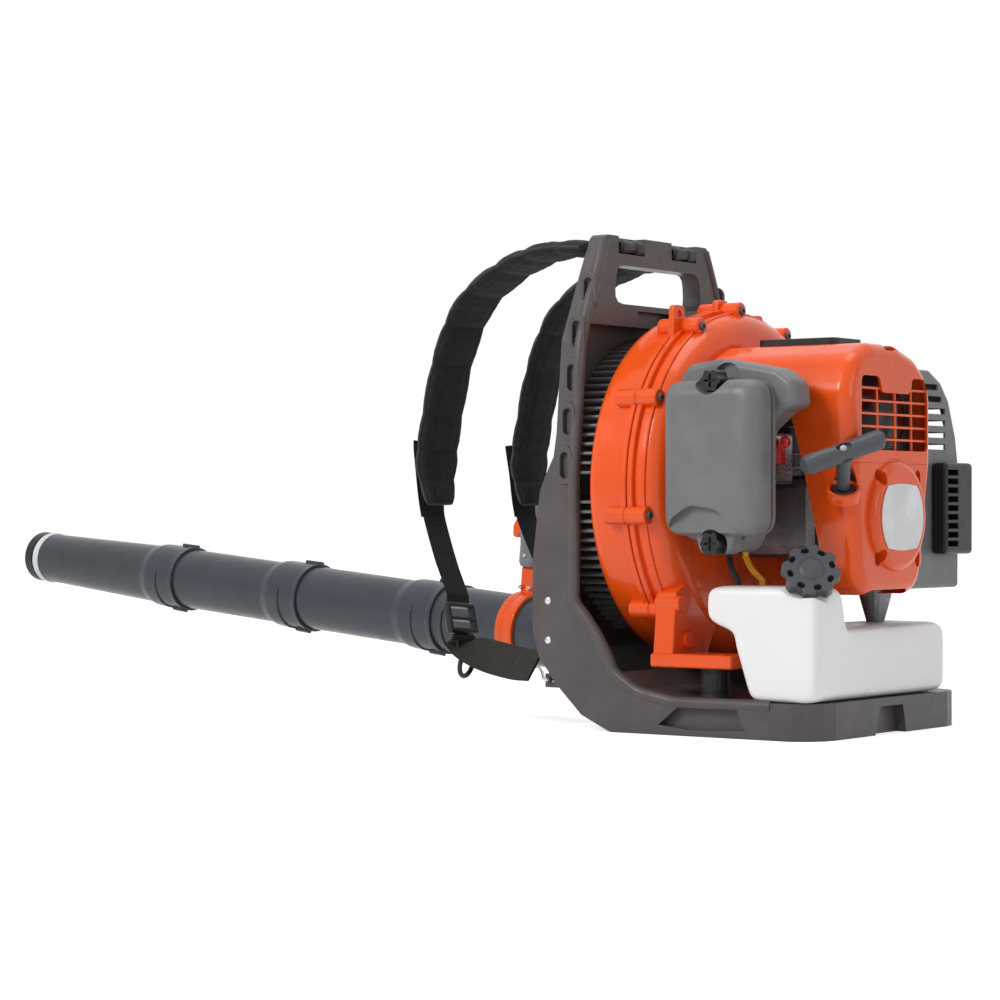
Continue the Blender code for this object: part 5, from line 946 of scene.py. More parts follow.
def fabric(name, path, side, ring_at):
    """A soft strip along a path, with length and girth as UV; ring_at gives (across, out) points at t."""
    bm = bmesh.new()
    layer = bm.loops.layers.uv.new("weave")
    frames = carried(path, side)
    rows, travel, girths = [], [0.0], []
    for i, (point, across, out) in enumerate(frames):
        ring = ring_at(i / (len(frames) - 1))
        rows.append([bm.verts.new(point + across * u + out * v) for u, v in ring])
        if not girths:
            girths = [0.0]
            for a, b in zip(ring, ring[1:] + ring[:1]):
                girths.append(girths[-1] + math.dist(a, b))
        if i:
            travel.append(travel[-1] + (path[i] - path[i - 1]).length)
    count = len(rows[0])
    for i in range(len(rows) - 1):
        for k in range(count):
            j = (k + 1) % count
            face = bm.faces.new((rows[i][k], rows[i][j], rows[i + 1][j], rows[i + 1][k]))
            for loop, (u, v) in zip(face.loops, ((k, i), (k + 1, i), (k + 1, i + 1), (k, i + 1))):
                loop[layer].uv = (girths[u], travel[v])
    for row, v in ((rows[0][::-1], travel[0]), (rows[-1], travel[-1])):
        face = bm.faces.new(row)
        for loop in face.loops:
            loop[layer].uv = (loop.vert.co.x, v + loop.vert.co.z)
    return from_bmesh(name, bm)


def pad_fullness(t):
    """From 0 at a cross seam of the quilting to 1 between two of them."""
    near = abs((PAD_CHANNELS * t + 0.5) % 1.0 - 0.5) * 2
    return min(1.0, near * 1.6) ** 0.5


def pad_half(t):
    """Half width of the pad: tapered at both ends, and drawn in a little at each cross seam."""
    return PAD_WIDTH / 2 * min(1.0, 0.62 + 2.4 * min(t, 1 - t)) * (0.93 + 0.07 * pad_fullness(t))


def pad_ring(t):
    """Section of a quilted pad: full between its cross seams, pinched at them, flat at its bound edges."""
    puff = 0.62 + 0.38 * pad_fullness(t)
    half = pad_half(t)
    ring = []
    for k in range(48):
        u, v = squared(math.tau * (k + 0.5) / 48, 0.62, 0.85)
        swell = 1.0 - 0.13 * math.exp(-(abs(u) - 0.62) ** 2 / 0.003)
        wrinkle = 1.0 + 0.05 * math.sin(t * 173 + u * 7) * math.sin(t * 71 + k)
        ring.append((u * half, v * PAD_THICKNESS / 2 * puff * swell * wrinkle))
    return ring


def flat_ring(width, thickness, twist=0.0):
    """Section of webbing: two flat faces with selvedges, turned by the twist in degrees on its way."""
    top = [(width / 2 * (0.92 - 0.23 * k), thickness / 2) for k in range(9)]
    outline = top + [(-width / 2, 0.0)] + [(-x, -z) for x, z in top] + [(width / 2, 0.0)]

    def ring(t):
        share = min(1.0, max(0.0, (t - 0.12) / 0.55))
        angle = math.radians(twist) * share * share * (3 - 2 * share)
        c, s = math.cos(angle), math.sin(angle)
        return [(x * c - z * s, x * s + z * c) for x, z in outline]
    return ring


def make_pad(side, sign):
    """The quilted shoulder pad, with piping along both edges."""
    path = curve_through(mirrored(PAD_POINTS, sign), 26)
    pad = fabric(f"pad_{side}", path, X_AXIS, pad_ring)
    piece(pad, "pad_fabric", "machine", f"shoulder_pad_{side}", angle=75)
    frames = carried(path, X_AXIS)
    last = len(frames) - 1
    for name, edge in (("in", -1), ("out", 1)):
        line = []
        for i, (point, across, _) in enumerate(frames[2:-2]):
            line.append(point + across * edge * (pad_half((i + 2) / last) * 0.985))
        piece(swept(f"pad_piping_{side}_{name}", line, 0.0021, 12), "rubber", "machine", angle=60)


def webbing_path(sign):
    path = curve_through(PAD_POINTS, 5)
    frames = carried(path, X_AXIS)
    offset = (PAD_THICKNESS + WEB_THICKNESS) / 2 + 0.0003
    on_pad = [frames[i][0] - frames[i][2] * offset for i in (24, 27, 30, 33, 35)]
    off_end = on_pad[-1] + (path[-1] - path[-2]).normalized() * 0.015
    points = on_pad + [off_end, Vector((PAD_X + 0.004, BACK_Y + 0.1890, 0.168))]
    points += [BUCKLE_TOP + BUCKLE_UP * rise for rise in (0.012, 0.004, 0.0003)]
    return mirrored(curve_through(points, 12), sign)


def lower_path(sign):
    points = [BUCKLE_BOTTOM - BUCKLE_UP * drop for drop in (0.0003, 0.004, 0.012)]
    points += [Vector((PAD_X + 0.022, BACK_Y + 0.118, 0.069)), Vector((PAD_X + 0.038, BACK_Y + 0.070, 0.063)),
               Vector((0.134, 0.1715, 0.0625))]
    return mirrored(curve_through(points, 14), sign)


def make_webbing(side, sign):
    path = webbing_path(sign)
    web = fabric(f"webbing_{side}", path, X_AXIS, flat_ring(WEB_WIDTH, WEB_THICKNESS))
    piece(web, "webbing", "machine", f"strap_webbing_{side}", angle=60)
    path = lower_path(sign)
    lower = fabric(f"lower_webbing_{side}", path, X_AXIS,
                   flat_ring(WEB_WIDTH, WEB_THICKNESS + 0.001, -70.0 * sign))
    piece(lower, "webbing_olive", "machine", f"lower_strap_{side}", angle=60)


def make_pull_ring(side, sign):
    """The finger ring that loosens the strap, on its tab below the buckle."""
    start = mirrored([BUCKLE_BOTTOM + Vector((0, 0.002, 0.002))], sign)[0]
    middle = start + Vector((0, -0.006, -0.033))
    ring = turned(f"pull_ring_{side}", shifted(oval(0.0027, 0.0027, 16), 0.0135, 0), 64, middle,
                  Vector((0.12 * sign, 0.95, 0.2)), X_AXIS, ring=True)
    piece(ring, "black_plastic", "machine", angle=60)
    tab = eased(block(f"pull_tab_{side}", (-0.010, -0.0022, -0.020), (0.010, 0.0022, 0.0)), 0.0018)
    tab.data.transform(Matrix.Translation(start))
    piece(tab, "black_plastic", "machine", angle=50)


def make_harness():
    for side, sign in SIDES:
        make_pad(side, sign)
        make_webbing(side, sign)
        make_pull_ring(side, sign)


# ---------------------------------------------------------------- frame and housing details

FAN_CENTRE = Vector((0.015, 0, 0.245))
FAN_RADIUS = 0.180
SPLIT_Y = 0.036
BOSS_ANGLES = (20, 62, 92, 117, 151, 189, 222, 298)


def frame_half_width(z):
    """Half the width of the CAD frame at a height: it narrows upwards in two straight runs."""
    if z < 0.262:
        return 0.155
    if z < 0.395:
        return 0.155 - 0.013 * (z - 0.262) / 0.133
    return 0.142 - 0.029 * (z - 0.395) / 0.073


def make_lacing():
    """Raised rims with a slot down both front side edges of the frame, and the rivets below them."""
    for side, sign in SIDES:
        for i in range(5):
            z = 0.445 - i * 0.0445
            lean = 0.0 if z < 0.30 else (z - 0.30) * 0.16
            y = BACK_Y - 0.013 - lean * 0.3
            x = frame_half_width(z)
            rim = prism(f"lacing_rim_{side}_{i}", shifted(capsule(0.019, 0.039), y, z), sign * x - 0.0024,
                        sign * x + 0.0024, "X")
            cut(rim, prism("lacing_rim_slot", shifted(capsule(0.010, 0.027), y, z), -0.2, 0.2, "X"))
            piece(rim, "frame_plastic", "machine", edge=0.0010)
    for i, z in enumerate((0.130, 0.090)):
        for side, sign in SIDES:
            place = Vector((sign * 0.1545, 0.141, z))
            profile = [(0, 0), (0.0038, 0), (0.0036, 0.0010), (0.0022, 0.0019), (0, 0.0021)]
            piece(turned(f"rivet_{side}_{i}", profile, 24, place, X_AXIS * sign), "steel", "machine")


def make_guard():
    """The intake cage: a fine comb of bars between the housing and the frame's back panel."""
    centre = FAN_CENTRE + Vector((-0.005, 0, 0))
    ring = turned("cage_ring", [(0.153, 0), (0.160, 0), (0.1605, 0.0015), (0.160, 0.003), (0.153, 0.003)], 96,
                  centre + Y_AXIS * 0.0885, Y_AXIS, ring=True)
    piece(ring, "cover_grey", "machine", "intake_guard")
    bm = bmesh.new()
    for i in range(100):
        a = math.tau * (i + 0.5) / 100
        out = Vector((math.cos(a), 0, math.sin(a)))
        place = centre + out * 0.1565
        if abs(place.x) > frame_half_width(place.z) - 0.009 or place.z < 0.10:
            continue
        made = bmesh.ops.create_cube(bm, size=1.0)["verts"]
        matrix = aim(place + Y_AXIS * 0.1085, Y_AXIS, out) @ Matrix.Diagonal((0.0046, 0.0026, 0.0380, 1.0))
        bmesh.ops.transform(bm, verts=made, matrix=matrix)
    piece(from_bmesh("cage_bars", bm), "cover_grey", "machine", angle=40)


def make_bosses():
    """Round screw bosses over both halves of the fan housing, a screw in each, and the lugs on top."""
    for i, angle in enumerate(BOSS_ANGLES):
        out = Vector((math.cos(math.radians(angle)), 0, math.sin(math.radians(angle))))
        place = FAN_CENTRE + out * (FAN_RADIUS + 0.003)
        for half, low, high in (("rear", 0.0115, 0.0358), ("front", 0.0362, 0.0600)):
            tall = high - low
            profile = [(0, 0), (0.0082, 0), (0.0092, 0.0010), (0.0092, tall - 0.001), (0.0086, tall),
                       (0, tall)]
            boss = turned(f"boss_{half}_{i}", profile, 40, place + Y_AXIS * low, Y_AXIS)
            piece(boss, "orange_plastic", "machine")
        screw(f"boss_screw_{i}", place + Y_AXIS * 0.0118, -Y_AXIS, 0.0044, "machine", "cap_grey")
    for i, (x, top, half) in enumerate(((-0.077, 0.430, 0.012), (0.006, 0.440, 0.012),
                                        (0.078, 0.428, 0.010))):
        seat = FAN_CENTRE.z + math.sqrt(FAN_RADIUS ** 2 - (x - FAN_CENTRE.x) ** 2) - 0.008
        outline = [(x - half, seat), (x + half, seat), (x + half * 0.8, top), (x - half * 0.8, top)]
        lug = prism(f"top_lug_{i}", fillet(outline, 0.005, 5), SPLIT_Y - 0.0035, SPLIT_Y + 0.0035, "Y")
        cut(lug, cylinder("lug_hole", 0.0036, 0.04, (x, 0.01, top - 0.009), Y_AXIS, 32))
        piece(lug, "orange_plastic", "machine", edge=0.0012)


def make_rails():
    """The rolled rear edge of each side rail, from the top bar down and round into the base."""
    line = [(0.500, 0.1092), (0.460, 0.108), (0.395, 0.108), (0.330, 0.108), (0.262, 0.108), (0.200, 0.108),
            (0.150, 0.108), (0.130, 0.107), (0.114, 0.094), (0.098, 0.079), (0.078, 0.067), (0.064, 0.060),
            (0.053, 0.045), (0.044, 0.032), (0.039, 0.008), (0.036, -0.013), (0.036, -0.060), (0.036, -0.120)]
    for side, sign in SIDES:
        points = []
        for z, y in line:
            inward = 0.004 if y > 0 else 0.0045
            points.append((sign * (frame_half_width(min(z, 0.468)) - (max(z, 0.468) - 0.468) * 0.43 - inward),
                           y + (0.0035 if z > 0.05 else 0.0), z - (0.0035 if z < 0.11 else 0.0)))
        path = curve_through(points, 10)
        piece(swept(f"rail_roll_{side}", path, 0.0062, 28), "frame_plastic", "machine", angle=60)


def make_strap_ends():
    """The loose end of webbing that stands up behind each pad's lower end."""
    for side, sign in SIDES:
        points = [(PAD_X, BACK_Y + 0.2125, 0.215), (PAD_X, BACK_Y + 0.2165, 0.235),
                  (PAD_X, BACK_Y + 0.2200, 0.262), (PAD_X - 0.001, BACK_Y + 0.2235, 0.285),
                  (PAD_X - 0.002, BACK_Y + 0.2245, 0.296)]
        path = mirrored(curve_through(points, 8), sign)
        tail = fabric(f"strap_end_{side}", path, X_AXIS, flat_ring(WEB_WIDTH * 0.9, WEB_THICKNESS))
        piece(tail, "webbing", "machine", angle=60)


# ---------------------------------------------------------------- air tube and control handle

TUBE_START = Vector((0.2105, 0.160, 0.0545))
TUBE_DIRECTION = Vector((0.0886, 1.0, 0.0886)).normalized()
HOSE_LENGTH = 0.140
HOSE_RADIUS = 0.0440
HOSE_CUFF = 0.022
HOSE_PITCH = 0.096 / 14
SPIGOT_LENGTH = 0.030
SOCKET_LENGTH = 0.060
CONTROL_START = HOSE_LENGTH - SPIGOT_LENGTH
CONTROL_LENGTH = 0.360
SECTION_LENGTH = 0.292
SECTION_STEP = 0.234            # from one section's start to the next one's
NOZZLE_LENGTH = 0.312
NOZZLE_TIP = 0.0325
TUBE_RADII = (0.0405, 0.0398, 0.0388)
TUBE_WALL = 0.0020
HANDLE_MIDDLE = CONTROL_START + 0.182
HANDLE_ARM_HEIGHT = 0.034
GRIP_HEIGHT = 0.078


def along_tube(distance):
    return TUBE_START + TUBE_DIRECTION * distance


def on_tube(start, distance, radius, degrees):
    """A point on a tube section's skin; 0 degrees is its top, and negative ones are towards the wearer."""
    angle = math.radians(degrees)
    matrix = aim(along_tube(start), TUBE_DIRECTION, Z_AXIS)
    return matrix @ Vector((radius * math.cos(angle), radius * math.sin(angle), distance))


def tube_ring(name, profile, distance, steps=96):
    return turned(name, profile, steps, along_tube(distance), TUBE_DIRECTION, Z_AXIS, ring=True)


def bent_piece(obj, finish, first, second, start, end, *stands_for):
    """A soft piece: shaded and finished, its matrix applied, and the CAD nodes it stands for hidden."""
    paint(settle(obj), finish, 40)
    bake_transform(obj)
    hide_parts(*stands_for)


def make_elbow():
    """The elbow from the outlet duct round to the hose, with its flange, its mould seams and two ribs."""
    start = Vector((0.165, 0.036, 0.1497))
    knee = start - Z_AXIS * 0.012
    out = along_tube(-0.004)
    first = knee + Vector((0.040, -0.006, -0.046))
    second = out - TUBE_DIRECTION * 0.070
    path = [start]
    for k in range(37):
        t = k / 36
        path.append(knee * (1 - t) ** 3 + first * 3 * t * (1 - t) ** 2 + second * 3 * t * t * (1 - t)
                    + out * t ** 3)
    path += [along_tube(0.012), along_tube(SPIGOT_LENGTH)]
    elbow = swept("air_elbow", path, 0.0405, 72)
    piece(elbow, "tube_slate", "machine", "outlet_elbow", angle=50)
    flange = turned("elbow_flange", bead(0.030, 0.0455, 0.0046, 0.0015, 0.0012), 96, start, -Z_AXIS,
                    ring=True)
    piece(flange, "tube_slate", "machine")
    for name, sign in (("near", 1), ("far", -1)):
        seam = [point + side * sign * 0.0404 for point, side, _ in carried(path[2:-2], X_AXIS)]
        piece(swept(f"elbow_seam_{name}", seam, 0.0011, 12), "tube_slate", "machine")
    for name, distance in (("inner", -0.016), ("outer", -0.008)):
        profile = [(0.039, 0), (0.0418, 0.0004), (0.0424, 0.0014), (0.0418, 0.0024), (0.039, 0.0028)]
        rib = turned(f"elbow_rib_{name}", profile, 96, along_tube(distance), TUBE_DIRECTION, ring=True)
        piece(rib, "tube_slate", "machine")


def hose_radius(distance):
    """Outer radius of the hose: plain cuffs at its ends and round ribs between them."""
    if distance < HOSE_CUFF or distance > HOSE_LENGTH - HOSE_CUFF:
        return HOSE_RADIUS
    wave = 0.5 - 0.5 * math.cos(math.tau * (distance - HOSE_CUFF) / HOSE_PITCH)
    return HOSE_RADIUS - 0.0004 + 0.0044 * wave ** 0.55


def make_hose():
    """The ribbed hose, in two halves."""
    rows = 168
    for name, first, last, before, after, bend in (
            ("hose_near", 0, rows // 2, "machine", "hose", (0.024, 0.066)),
            ("hose_far", rows // 2, rows, "hose", "tube", (0.074, 0.116))):
        places = [HOSE_LENGTH * k / rows for k in range(first, last + 1)]
        profile = [(hose_radius(d), d) for d in places] + [(0.0412, d) for d in places[::-4]]
        hose = tube_ring(name, profile, 0, 72)
        bent_piece(hose, "rubber", before, after, along_tube(bend[0]), along_tube(bend[1]), "flex_hose")


def make_band(name, node, body, place):
    """A worm-drive clamp: a band with rolled edges, and its screw in a housing."""
    inner = 0.0444
    profile = shifted([(0, 0), (0.0016, 0), (0.0021, 0.0008), (0.0019, 0.0022), (0.0010, 0.0030),
                       (0.0010, 0.0090), (0.0019, 0.0098), (0.0021, 0.0112), (0.0016, 0.0120), (0, 0.0120)],
                      inner, 0)
    piece(tube_ring(name, profile, place), "steel", body, node)
    side = TUBE_DIRECTION.cross(Z_AXIS).normalized()
    up = side.cross(TUBE_DIRECTION).normalized()
    middle = along_tube(place + 0.006) + side * (inner + 0.005)
    housing = block(name + "_housing", (-0.0055, -0.0085, -0.0045), (0.0055, 0.0085, 0.0045))
    placed(housing, middle, side, TUBE_DIRECTION)
    piece(housing, "steel", body, edge=0.0012)
    worm = turned(name + "_worm", [(0, -0.012), (0.0030, -0.012), (0.0034, -0.011), (0.0034, 0.011),
                                   (0.0046, 0.011), (0.0046, 0.0145), (0.0040, 0.0155), (0, 0.0155)], 32,
                  middle + side * 0.0005, up)
    slot_cut = block(name + "_slot", (-0.006, -0.0005, 0.0145), (0.006, 0.0005, 0.02))
    cut(worm, placed(slot_cut, middle + side * 0.0005, up))
    piece(worm, "steel", body)


def latch_marks(name, start, outer):
    """The ears of a bayonet joint, and the J-shaped track that they turn into."""
    for i, (distance, degrees, length) in enumerate(((0.002, 6, 0.024), (0.002, -166, 0.020),
                                                     (0.002, 120, 0.020))):
        ear = eased(block(f"{name}_ear_{i}", (outer - 0.0016, -0.0055, distance),
                          (outer + 0.0036, 0.0055, distance + length)), 0.0015)
        turn = Matrix.Rotation(math.radians(degrees), 4, "Z")
        ear.data.transform(aim(along_tube(start), TUBE_DIRECTION, Z_AXIS) @ turn)
        piece(ear, "tube_slate", "tube", angle=50)
    track = [on_tube(start, 0.032, outer + 0.0002, a) for a in range(-72, -150, -6)]
    track += [on_tube(start, 0.031, outer + 0.0002, -155), on_tube(start, 0.028, outer + 0.0002, -159),
              on_tube(start, 0.022, outer + 0.0002, -160)]
    path = curve_through(track, 3)
    count = len(path)
    radii = [0.0016 * min(1.0, 0.35 + 5.0 * k / count) for k in range(count)]
    piece(swept(f"{name}_track", path, 0.0016, 12, TUBE_DIRECTION, radii), "tube_slate", "tube", angle=60)


def make_section(node, start, length, radius, socket, tip):
    """A tube section whose socket slips over the one before it."""
    wall, name = TUBE_WALL, "air_" + node
    inside = (socket + 0.0003) / math.cos(math.pi / 24)
    outer = inside + wall
    profile = [(inside, 0), (outer + 0.0002, 0), (outer + 0.0008, 0.0006), (outer + 0.0008, 0.0050),
               (outer + 0.0002, 0.0060), (outer - 0.0002, 0.0075), (outer, 0.010),
               (outer, SOCKET_LENGTH - 0.010), (outer - 0.0008, SOCKET_LENGTH - 0.003),
               (radius + 0.0004, SOCKET_LENGTH + 0.003), (radius, SOCKET_LENGTH + 0.009)]
    profile += [(radius + (tip - radius) * k / 8,
                 SOCKET_LENGTH + 0.010 + (length - SOCKET_LENGTH - 0.011) * k / 8) for k in range(9)]
    profile += [(tip - 0.0006, length), (tip - wall, length), (tip - wall, length - 0.02),
                (radius - wall, SOCKET_LENGTH + 0.004), (radius - wall, SOCKET_LENGTH),
                (inside, SOCKET_LENGTH)]
    piece(tube_ring(name, profile, start), "tube_slate", "tube", node)
    latch_marks(name, start, outer)


def ring_piece(name, finish, place, inner, outer, width):
    """A band or lip round the tube, with rolled edges."""
    roll = 0.0008
    profile = [(inner, 0), (outer - roll, 0), (outer - roll * 0.3, roll * 0.3), (outer, roll),
               (outer, width - roll), (outer - roll * 0.3, width - roll * 0.3), (outer - roll, width),
               (inner, width)]
    piece(tube_ring(name, profile, place), finish, "tube")


def make_tubes():
    """The control tube, two sections and the nozzle, each in the socket of the next."""
    first, second, third = TUBE_RADII
    control = bead(first - TUBE_WALL, first, CONTROL_LENGTH, 0.0005, 0.0006)
    piece(tube_ring("air_control_tube", control, CONTROL_START), "tube_slate", "tube", "control_tube")
    ring_piece("control_collar", "tube_slate", CONTROL_START + 0.284, first - 0.001, first + 0.0022, 0.004)
    ring_piece("control_band", "tube_slate", CONTROL_START + 0.080, first - 0.001, first + 0.0016, 0.003)
    start = CONTROL_START + CONTROL_LENGTH - SOCKET_LENGTH + 0.002
    make_section("tube_1", start, SECTION_LENGTH, second, first, second)
    start += SECTION_STEP
    make_section("tube_2", start, SECTION_LENGTH, third, second, third)
    start += SECTION_STEP
    make_section("nozzle", start, NOZZLE_LENGTH, third - 0.001, third, NOZZLE_TIP)
    ring_piece("mouth_band", "tank_poly", start + 0.285, 0.0318, 0.0345, 0.010)
    ring_piece("mouth_lip", "black_plastic", start + 0.298, 0.0310, 0.0340, 0.0140)


def make_handle():
    """The pistol grip, oval and ribbed at its back, with wells for its trigger and switch, and its clamp."""
    radius = 0.0408 / math.cos(math.pi / 28)
    upright = (Z_AXIS - TUBE_DIRECTION * Z_AXIS.dot(TUBE_DIRECTION)).normalized()
    across = TUBE_DIRECTION.cross(upright)
    foot = along_tube(HANDLE_MIDDLE) + upright * (radius + HANDLE_ARM_HEIGHT + 0.0003)
    tall = GRIP_HEIGHT
    outline = [(0.0, 0.0130), (0.03, 0.0148), (0.08, 0.0162), (0.2, 0.0158), (0.35, 0.0158), (0.5, 0.0168),
               (0.65, 0.0182), (0.78, 0.0188), (0.88, 0.0182), (0.94, 0.0160), (0.98, 0.0128), (1.0, 0.0100)]
    sections = []
    for t, r in outline:
        ring = []
        for k in range(64):
            a = math.tau * k / 64
            ribbed = abs(math.pi - a) < 1.1 and 0.3 < t < 0.8
            ripple = 1.0 - (0.05 * (0.5 + 0.5 * math.cos(a * 24)) if ribbed else 0.0)
            ring.append(foot + upright * t * tall + TUBE_DIRECTION * math.cos(a) * r * ripple
                        + across * math.sin(a) * r * 0.84 * ripple)
        sections.append(ring)
    grip = loft("pistol_grip", sections)
    well = block("grip_well", (0.0095, -0.0062, tall * 0.36), (0.038, 0.0062, tall * 0.85))
    placed(well, foot, upright, TUBE_DIRECTION)
    bore = cylinder("grip_bore", 0.0055, 0.02, foot + upright * tall * 0.78 - TUBE_DIRECTION * 0.009,
                    -TUBE_DIRECTION)
    cut(grip, well, bore)
    piece(grip, "grip_grey", "handle", "control_grip", edge=0.0008, angle=50)
    for i, t in enumerate((0.18, 0.92)):
        screw(f"grip_screw_{i}", foot + upright * tall * t - across * 0.0134, -across, 0.0026, "handle")
    profile = shifted([(0, 0), (0.0032, 0), (0.0042, 0.0010), (0.0042, 0.0090), (0.0030, 0.0102),
                       (0.0030, 0.0158), (0.0042, 0.0170), (0.0042, 0.0250), (0.0032, 0.0260), (0, 0.0260)],
                      radius, 0)
    clamp = turned("handle_band", profile, 96, along_tube(HANDLE_MIDDLE - 0.013), TUBE_DIRECTION, ring=True)
    arm = eased(block("handle_arm", (-0.0065, -0.0100, 0), (0.0065, 0.0100, HANDLE_ARM_HEIGHT - 0.001)),
                0.002)
    placed(arm, along_tube(HANDLE_MIDDLE) + upright * (radius + 0.001), upright,
           TUBE_DIRECTION.cross(upright))
    piece(clamp, "orange_plastic", "handle", "handle_clamp", angle=50)
    piece(arm, "orange_plastic", "handle", angle=50)
    for i, sign in enumerate((-1, 1)):
        place = along_tube(HANDLE_MIDDLE + sign * 0.0065) + upright * (radius + 0.010) - across * 0.0102
        screw(f"handle_screw_{i}", place, -across, 0.0026, "handle")


def make_cord():
    """The stretch of starter rope between its guide and the grip."""
    line = [PULL_POINT + PULL_DIRECTION * (-0.010 + GRIP_RISE * k / 30) for k in range(31)]
    bent_piece(swept("starter_cord", line, 0.0017, 20), "rope", "machine", "starter_pull", line[1], line[-2],
               "starter_rope")


# ---------------------------------------------------------------- volute

FAN_FRONT_Y, FAN_REAR_Y = 0.088, -0.004
DUCT_X = 0.165
DUCT_CORNER = 0.0475            # the volute ends this far inside the duct's middle


def volute_profile(inset, front, rear):
    """Half section of the volute as (radius, y), with round shoulders."""
    r = FAN_RADIUS - inset
    outline = shifted([(-0.014, 0), (-0.008, -0.0008), (-0.0035, -0.0035), (-0.0008, -0.008), (0, -0.0135)],
                      r, front)
    outline += shifted([(0, 0.026), (-0.0008, 0.019), (-0.004, 0.0115), (-0.010, 0.0055), (-0.018, 0.0015),
                        (-0.027, 0)], r, rear)
    return [(0, front)] + outline + [(0, rear)]


def volute_solid(name, inset, front, rear, corner):
    solid = turned(name, volute_profile(inset, front, rear), 144, FAN_CENTRE, Y_AXIS)
    return cut(solid, block(name + "_corner", (DUCT_X - DUCT_CORNER - corner, -0.1, 0),
                            (0.3, 0.2, 0.150 + corner)))


def duct(name, radius, length):
    return cylinder(name, radius, length, (DUCT_X, SPLIT_Y, FAN_CENTRE.z), -Z_AXIS, 96)


def volute_ring(name, profile, y):
    """A raised ring round the volute, which ends where the outlet duct begins."""
    ring = turned(name, profile, 144, FAN_CENTRE + Y_AXIS * y, Y_AXIS, ring=True)
    cut(ring, block("ring_corner", (DUCT_X - DUCT_CORNER, -0.1, 0), (0.3, 0.2, 0.240)))
    piece(ring, "orange_plastic", "machine", angle=30)


def make_volute():
    """Both halves of the fan housing: round shoulders, double flange, outlet duct and mounting brackets."""
    for half, low, high in (("front", SPLIT_Y + 0.00015, 0.2), ("rear", -0.2, SPLIT_Y - 0.00015)):
        shell = volute_solid(f"volute_{half}", 0.0, FAN_FRONT_Y, FAN_REAR_Y, 0.0)
        join(shell, duct("volute_duct", 0.0395, FAN_CENTRE.z - 0.150))
        if half == "rear":
            for sign, low_x, high_x, low_y in ((-1, -0.146, -0.102, -0.071), (1, 0.096, 0.134, -0.057)):
                bar = eased(block("bracket_bar", (low_x, low_y, 0.066), (high_x, 0.024, 0.080)), 0.003)
                if sign < 0:
                    outline = [(-0.145, 0.068), (-0.084, 0.068), (-0.060, 0.110), (-0.118, 0.150),
                               (-0.137, 0.140)]
                else:
                    outline = [(0.096, 0.068), (0.112, 0.068), (0.113, 0.125), (0.104, 0.135), (0.080, 0.120)]
                web = prism("bracket_web", fillet(outline, 0.006, 4), -0.002, 0.0215, "Y")
                join(shell, bar, eased(web, 0.002))
            for x, z in ((-0.131, 0.129), (-0.118, 0.093)):
                join(shell, turned("bracket_boss", [(0, -0.006), (0.0078, -0.006), (0.0086, -0.005),
                                                    (0.0086, 0.022), (0, 0.022)], 40, (x, 0, z), Y_AXIS))
        cut(shell, volute_solid("volute_cavity", WALL, FAN_FRONT_Y - WALL, FAN_REAR_Y + WALL, WALL),
            duct("duct_bore", 0.037, FAN_CENTRE.z - 0.140),
            cylinder("inlet", 0.088, 0.05, (CRANK.x, SPLIT_Y + 0.01, CRANK.z), Y_AXIS, 96),
            cylinder("shaft_hole", 0.008, 0.04, (CRANK.x, -0.02, CRANK.z), Y_AXIS, 32))
        keep(shell, block("volute_half", (-0.3, low, 0), (0.3, high, 0.6)))
        piece(shell, "orange_plastic", "machine", f"fan_housing_{half}", edge=0.0008, angle=30)
    for name, low in (("front", 0.0368), ("rear", 0.0292)):
        volute_ring(f"flange_{name}", bead(0.1790, 0.1850, 0.0060, 0.0008, 0.0008), low)
    volute_ring("volute_ridge", bead(0.176, 0.1818, 0.0030, 0.0006, 0.0008), 0.0165)


# ---------------------------------------------------------------- stage, light and camera

FLOOR_RADIUS = 9.0
GLOW_REACH = (1.6, 5.0)         # the far floor is lit less, and glows more instead, between these distances
GLOW_STRENGTH = (0.66, 1.0)
WORLD_LIGHT = 0.34
CAMERA_PLACE = (-2.4879, -1.5185, 0.217)
CAMERA_HEADING = math.radians(53.6)
FILM_WIDTH = 36.0
LENS_REACH = 2.820              # focal length over film width
VIEW_LIFT = 0.015               # the picture's shift upwards, as a share of its width
# name, place, point it faces, size and power
SOFTBOXES = (("key", (-2.2, 0.7, 1.7), (0, 0, 0.25), 0.9, 38.0),
             ("top", (0.1, 0.0, 2.4), (0, 0, 0.2), 1.4, 16.0),
             ("fill", (-0.2, -2.6, 0.9), (0, 0, 0.25), 1.2, 9.0))


def make_stage():
    """A pale floor that keeps the object's shadow and runs out into white."""
    bm = bmesh.new()
    bmesh.ops.create_circle(bm, cap_ends=True, radius=FLOOR_RADIUS, segments=96)
    floor = from_bmesh("floor", bm)
    made = bpy.data.materials.new("floor")
    graph = Graph(made)
    graph.tree.nodes.clear()
    output = graph.node("ShaderNodeOutputMaterial")
    diffuse = graph.node("ShaderNodeBsdfDiffuse")
    diffuse.inputs["Color"].default_value = (0.86, 0.86, 0.87, 1)
    glow = graph.node("ShaderNodeEmission")
    away = graph.node("ShaderNodeVectorMath", operation="LENGTH")
    graph.feed(away.inputs[0], graph.node("ShaderNodeTexCoord").outputs["Object"])
    rise = graph.spread(away.outputs["Value"], *GLOW_REACH, *GLOW_STRENGTH)
    graph.feed(glow.inputs["Strength"], graph.math("MULTIPLY", seen_or_mirrored(graph), rise))
    both = graph.node("ShaderNodeAddShader")
    graph.feed(both.inputs[0], diffuse.outputs[0])
    graph.feed(both.inputs[1], glow.outputs[0])
    graph.feed(output.inputs["Surface"], both.outputs[0])
    floor.data.materials.append(made)


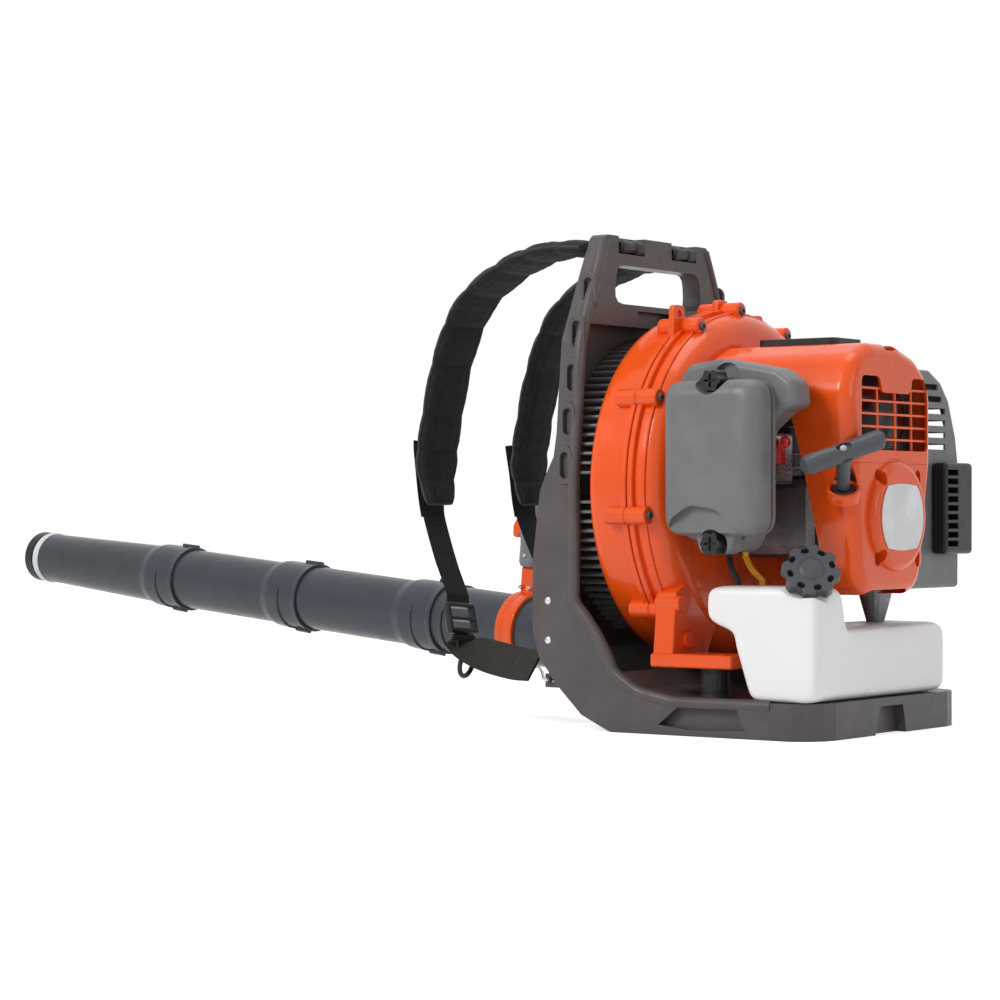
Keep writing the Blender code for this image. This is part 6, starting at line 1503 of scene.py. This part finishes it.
def seen_or_mirrored(graph):
    """1 on rays that the camera, a mirror or clear plastic sees, 0 on rays that light the object."""
    rays = graph.node("ShaderNodeLightPath").outputs
    seen = rays["Is Camera Ray"]
    for name in ("Is Glossy Ray", "Is Transmission Ray"):
        seen = graph.math("MAXIMUM", seen, rays[name])
    return seen


def make_world():
    """White where it is seen or mirrored, and dimmer as a light."""
    world = bpy.data.worlds.new("studio")
    bpy.context.scene.world = world
    graph = Graph(world)
    background = graph.tree.nodes["Background"]
    background.inputs["Color"].default_value = (1, 1, 1, 1)
    strength = graph.spread(seen_or_mirrored(graph), 0.0, 1.0, WORLD_LIGHT, 1.0)
    graph.feed(background.inputs["Strength"], strength)


def stand(obj, place, ahead):
    """Puts a lamp or camera at its place, facing ahead."""
    obj.location = place
    obj.rotation_mode = "QUATERNION"
    obj.rotation_quaternion = ahead.to_track_quat("-Z", "Y")
    bpy.context.scene.collection.objects.link(obj)


def softbox(name, place, target, size, power):
    lamp = bpy.data.lights.new(name, "AREA")
    lamp.size = size
    lamp.energy = power
    obj = bpy.data.objects.new(name, lamp)
    stand(obj, place, Vector(target) - Vector(place))


def make_camera():
    """The photo's view: a long lens from the rear left, level, at low height."""
    camera = bpy.data.cameras.new("camera")
    camera.sensor_width = FILM_WIDTH
    camera.lens = LENS_REACH * FILM_WIDTH
    camera.shift_y = VIEW_LIFT
    camera.clip_end = 60.0
    obj = bpy.data.objects.new("camera", camera)
    stand(obj, CAMERA_PLACE, Vector((math.sin(CAMERA_HEADING), math.cos(CAMERA_HEADING), 0)))
    bpy.context.scene.camera = obj


make_cowl()
make_cap_strip()
make_starter_housing()
make_badge()
make_grip()
make_fuel_cap()
make_tank()
make_filter_cover()
for end, height in zip(("top", "bottom"), KNOB_HEIGHTS):
    make_knob(f"lid_knob_{end}", f"knob_{end}", f"filter_knob_{end}", height)
make_filter_base()
make_elbow()
make_hose()
make_band("band_near", "hose_clamp_elbow", "machine", 0.005)
make_band("band_far", "hose_clamp_tube", "tube", HOSE_LENGTH - 0.017)
make_tubes()
make_handle()
make_cord()
make_harness()
make_strap_ends()
make_lacing()
make_rails()
make_guard()
make_bosses()
make_volute()
make_stage()
make_world()
for row in SOFTBOXES:
    softbox(*row)
make_camera()
bpy.context.scene.view_settings.view_transform = "Standard"
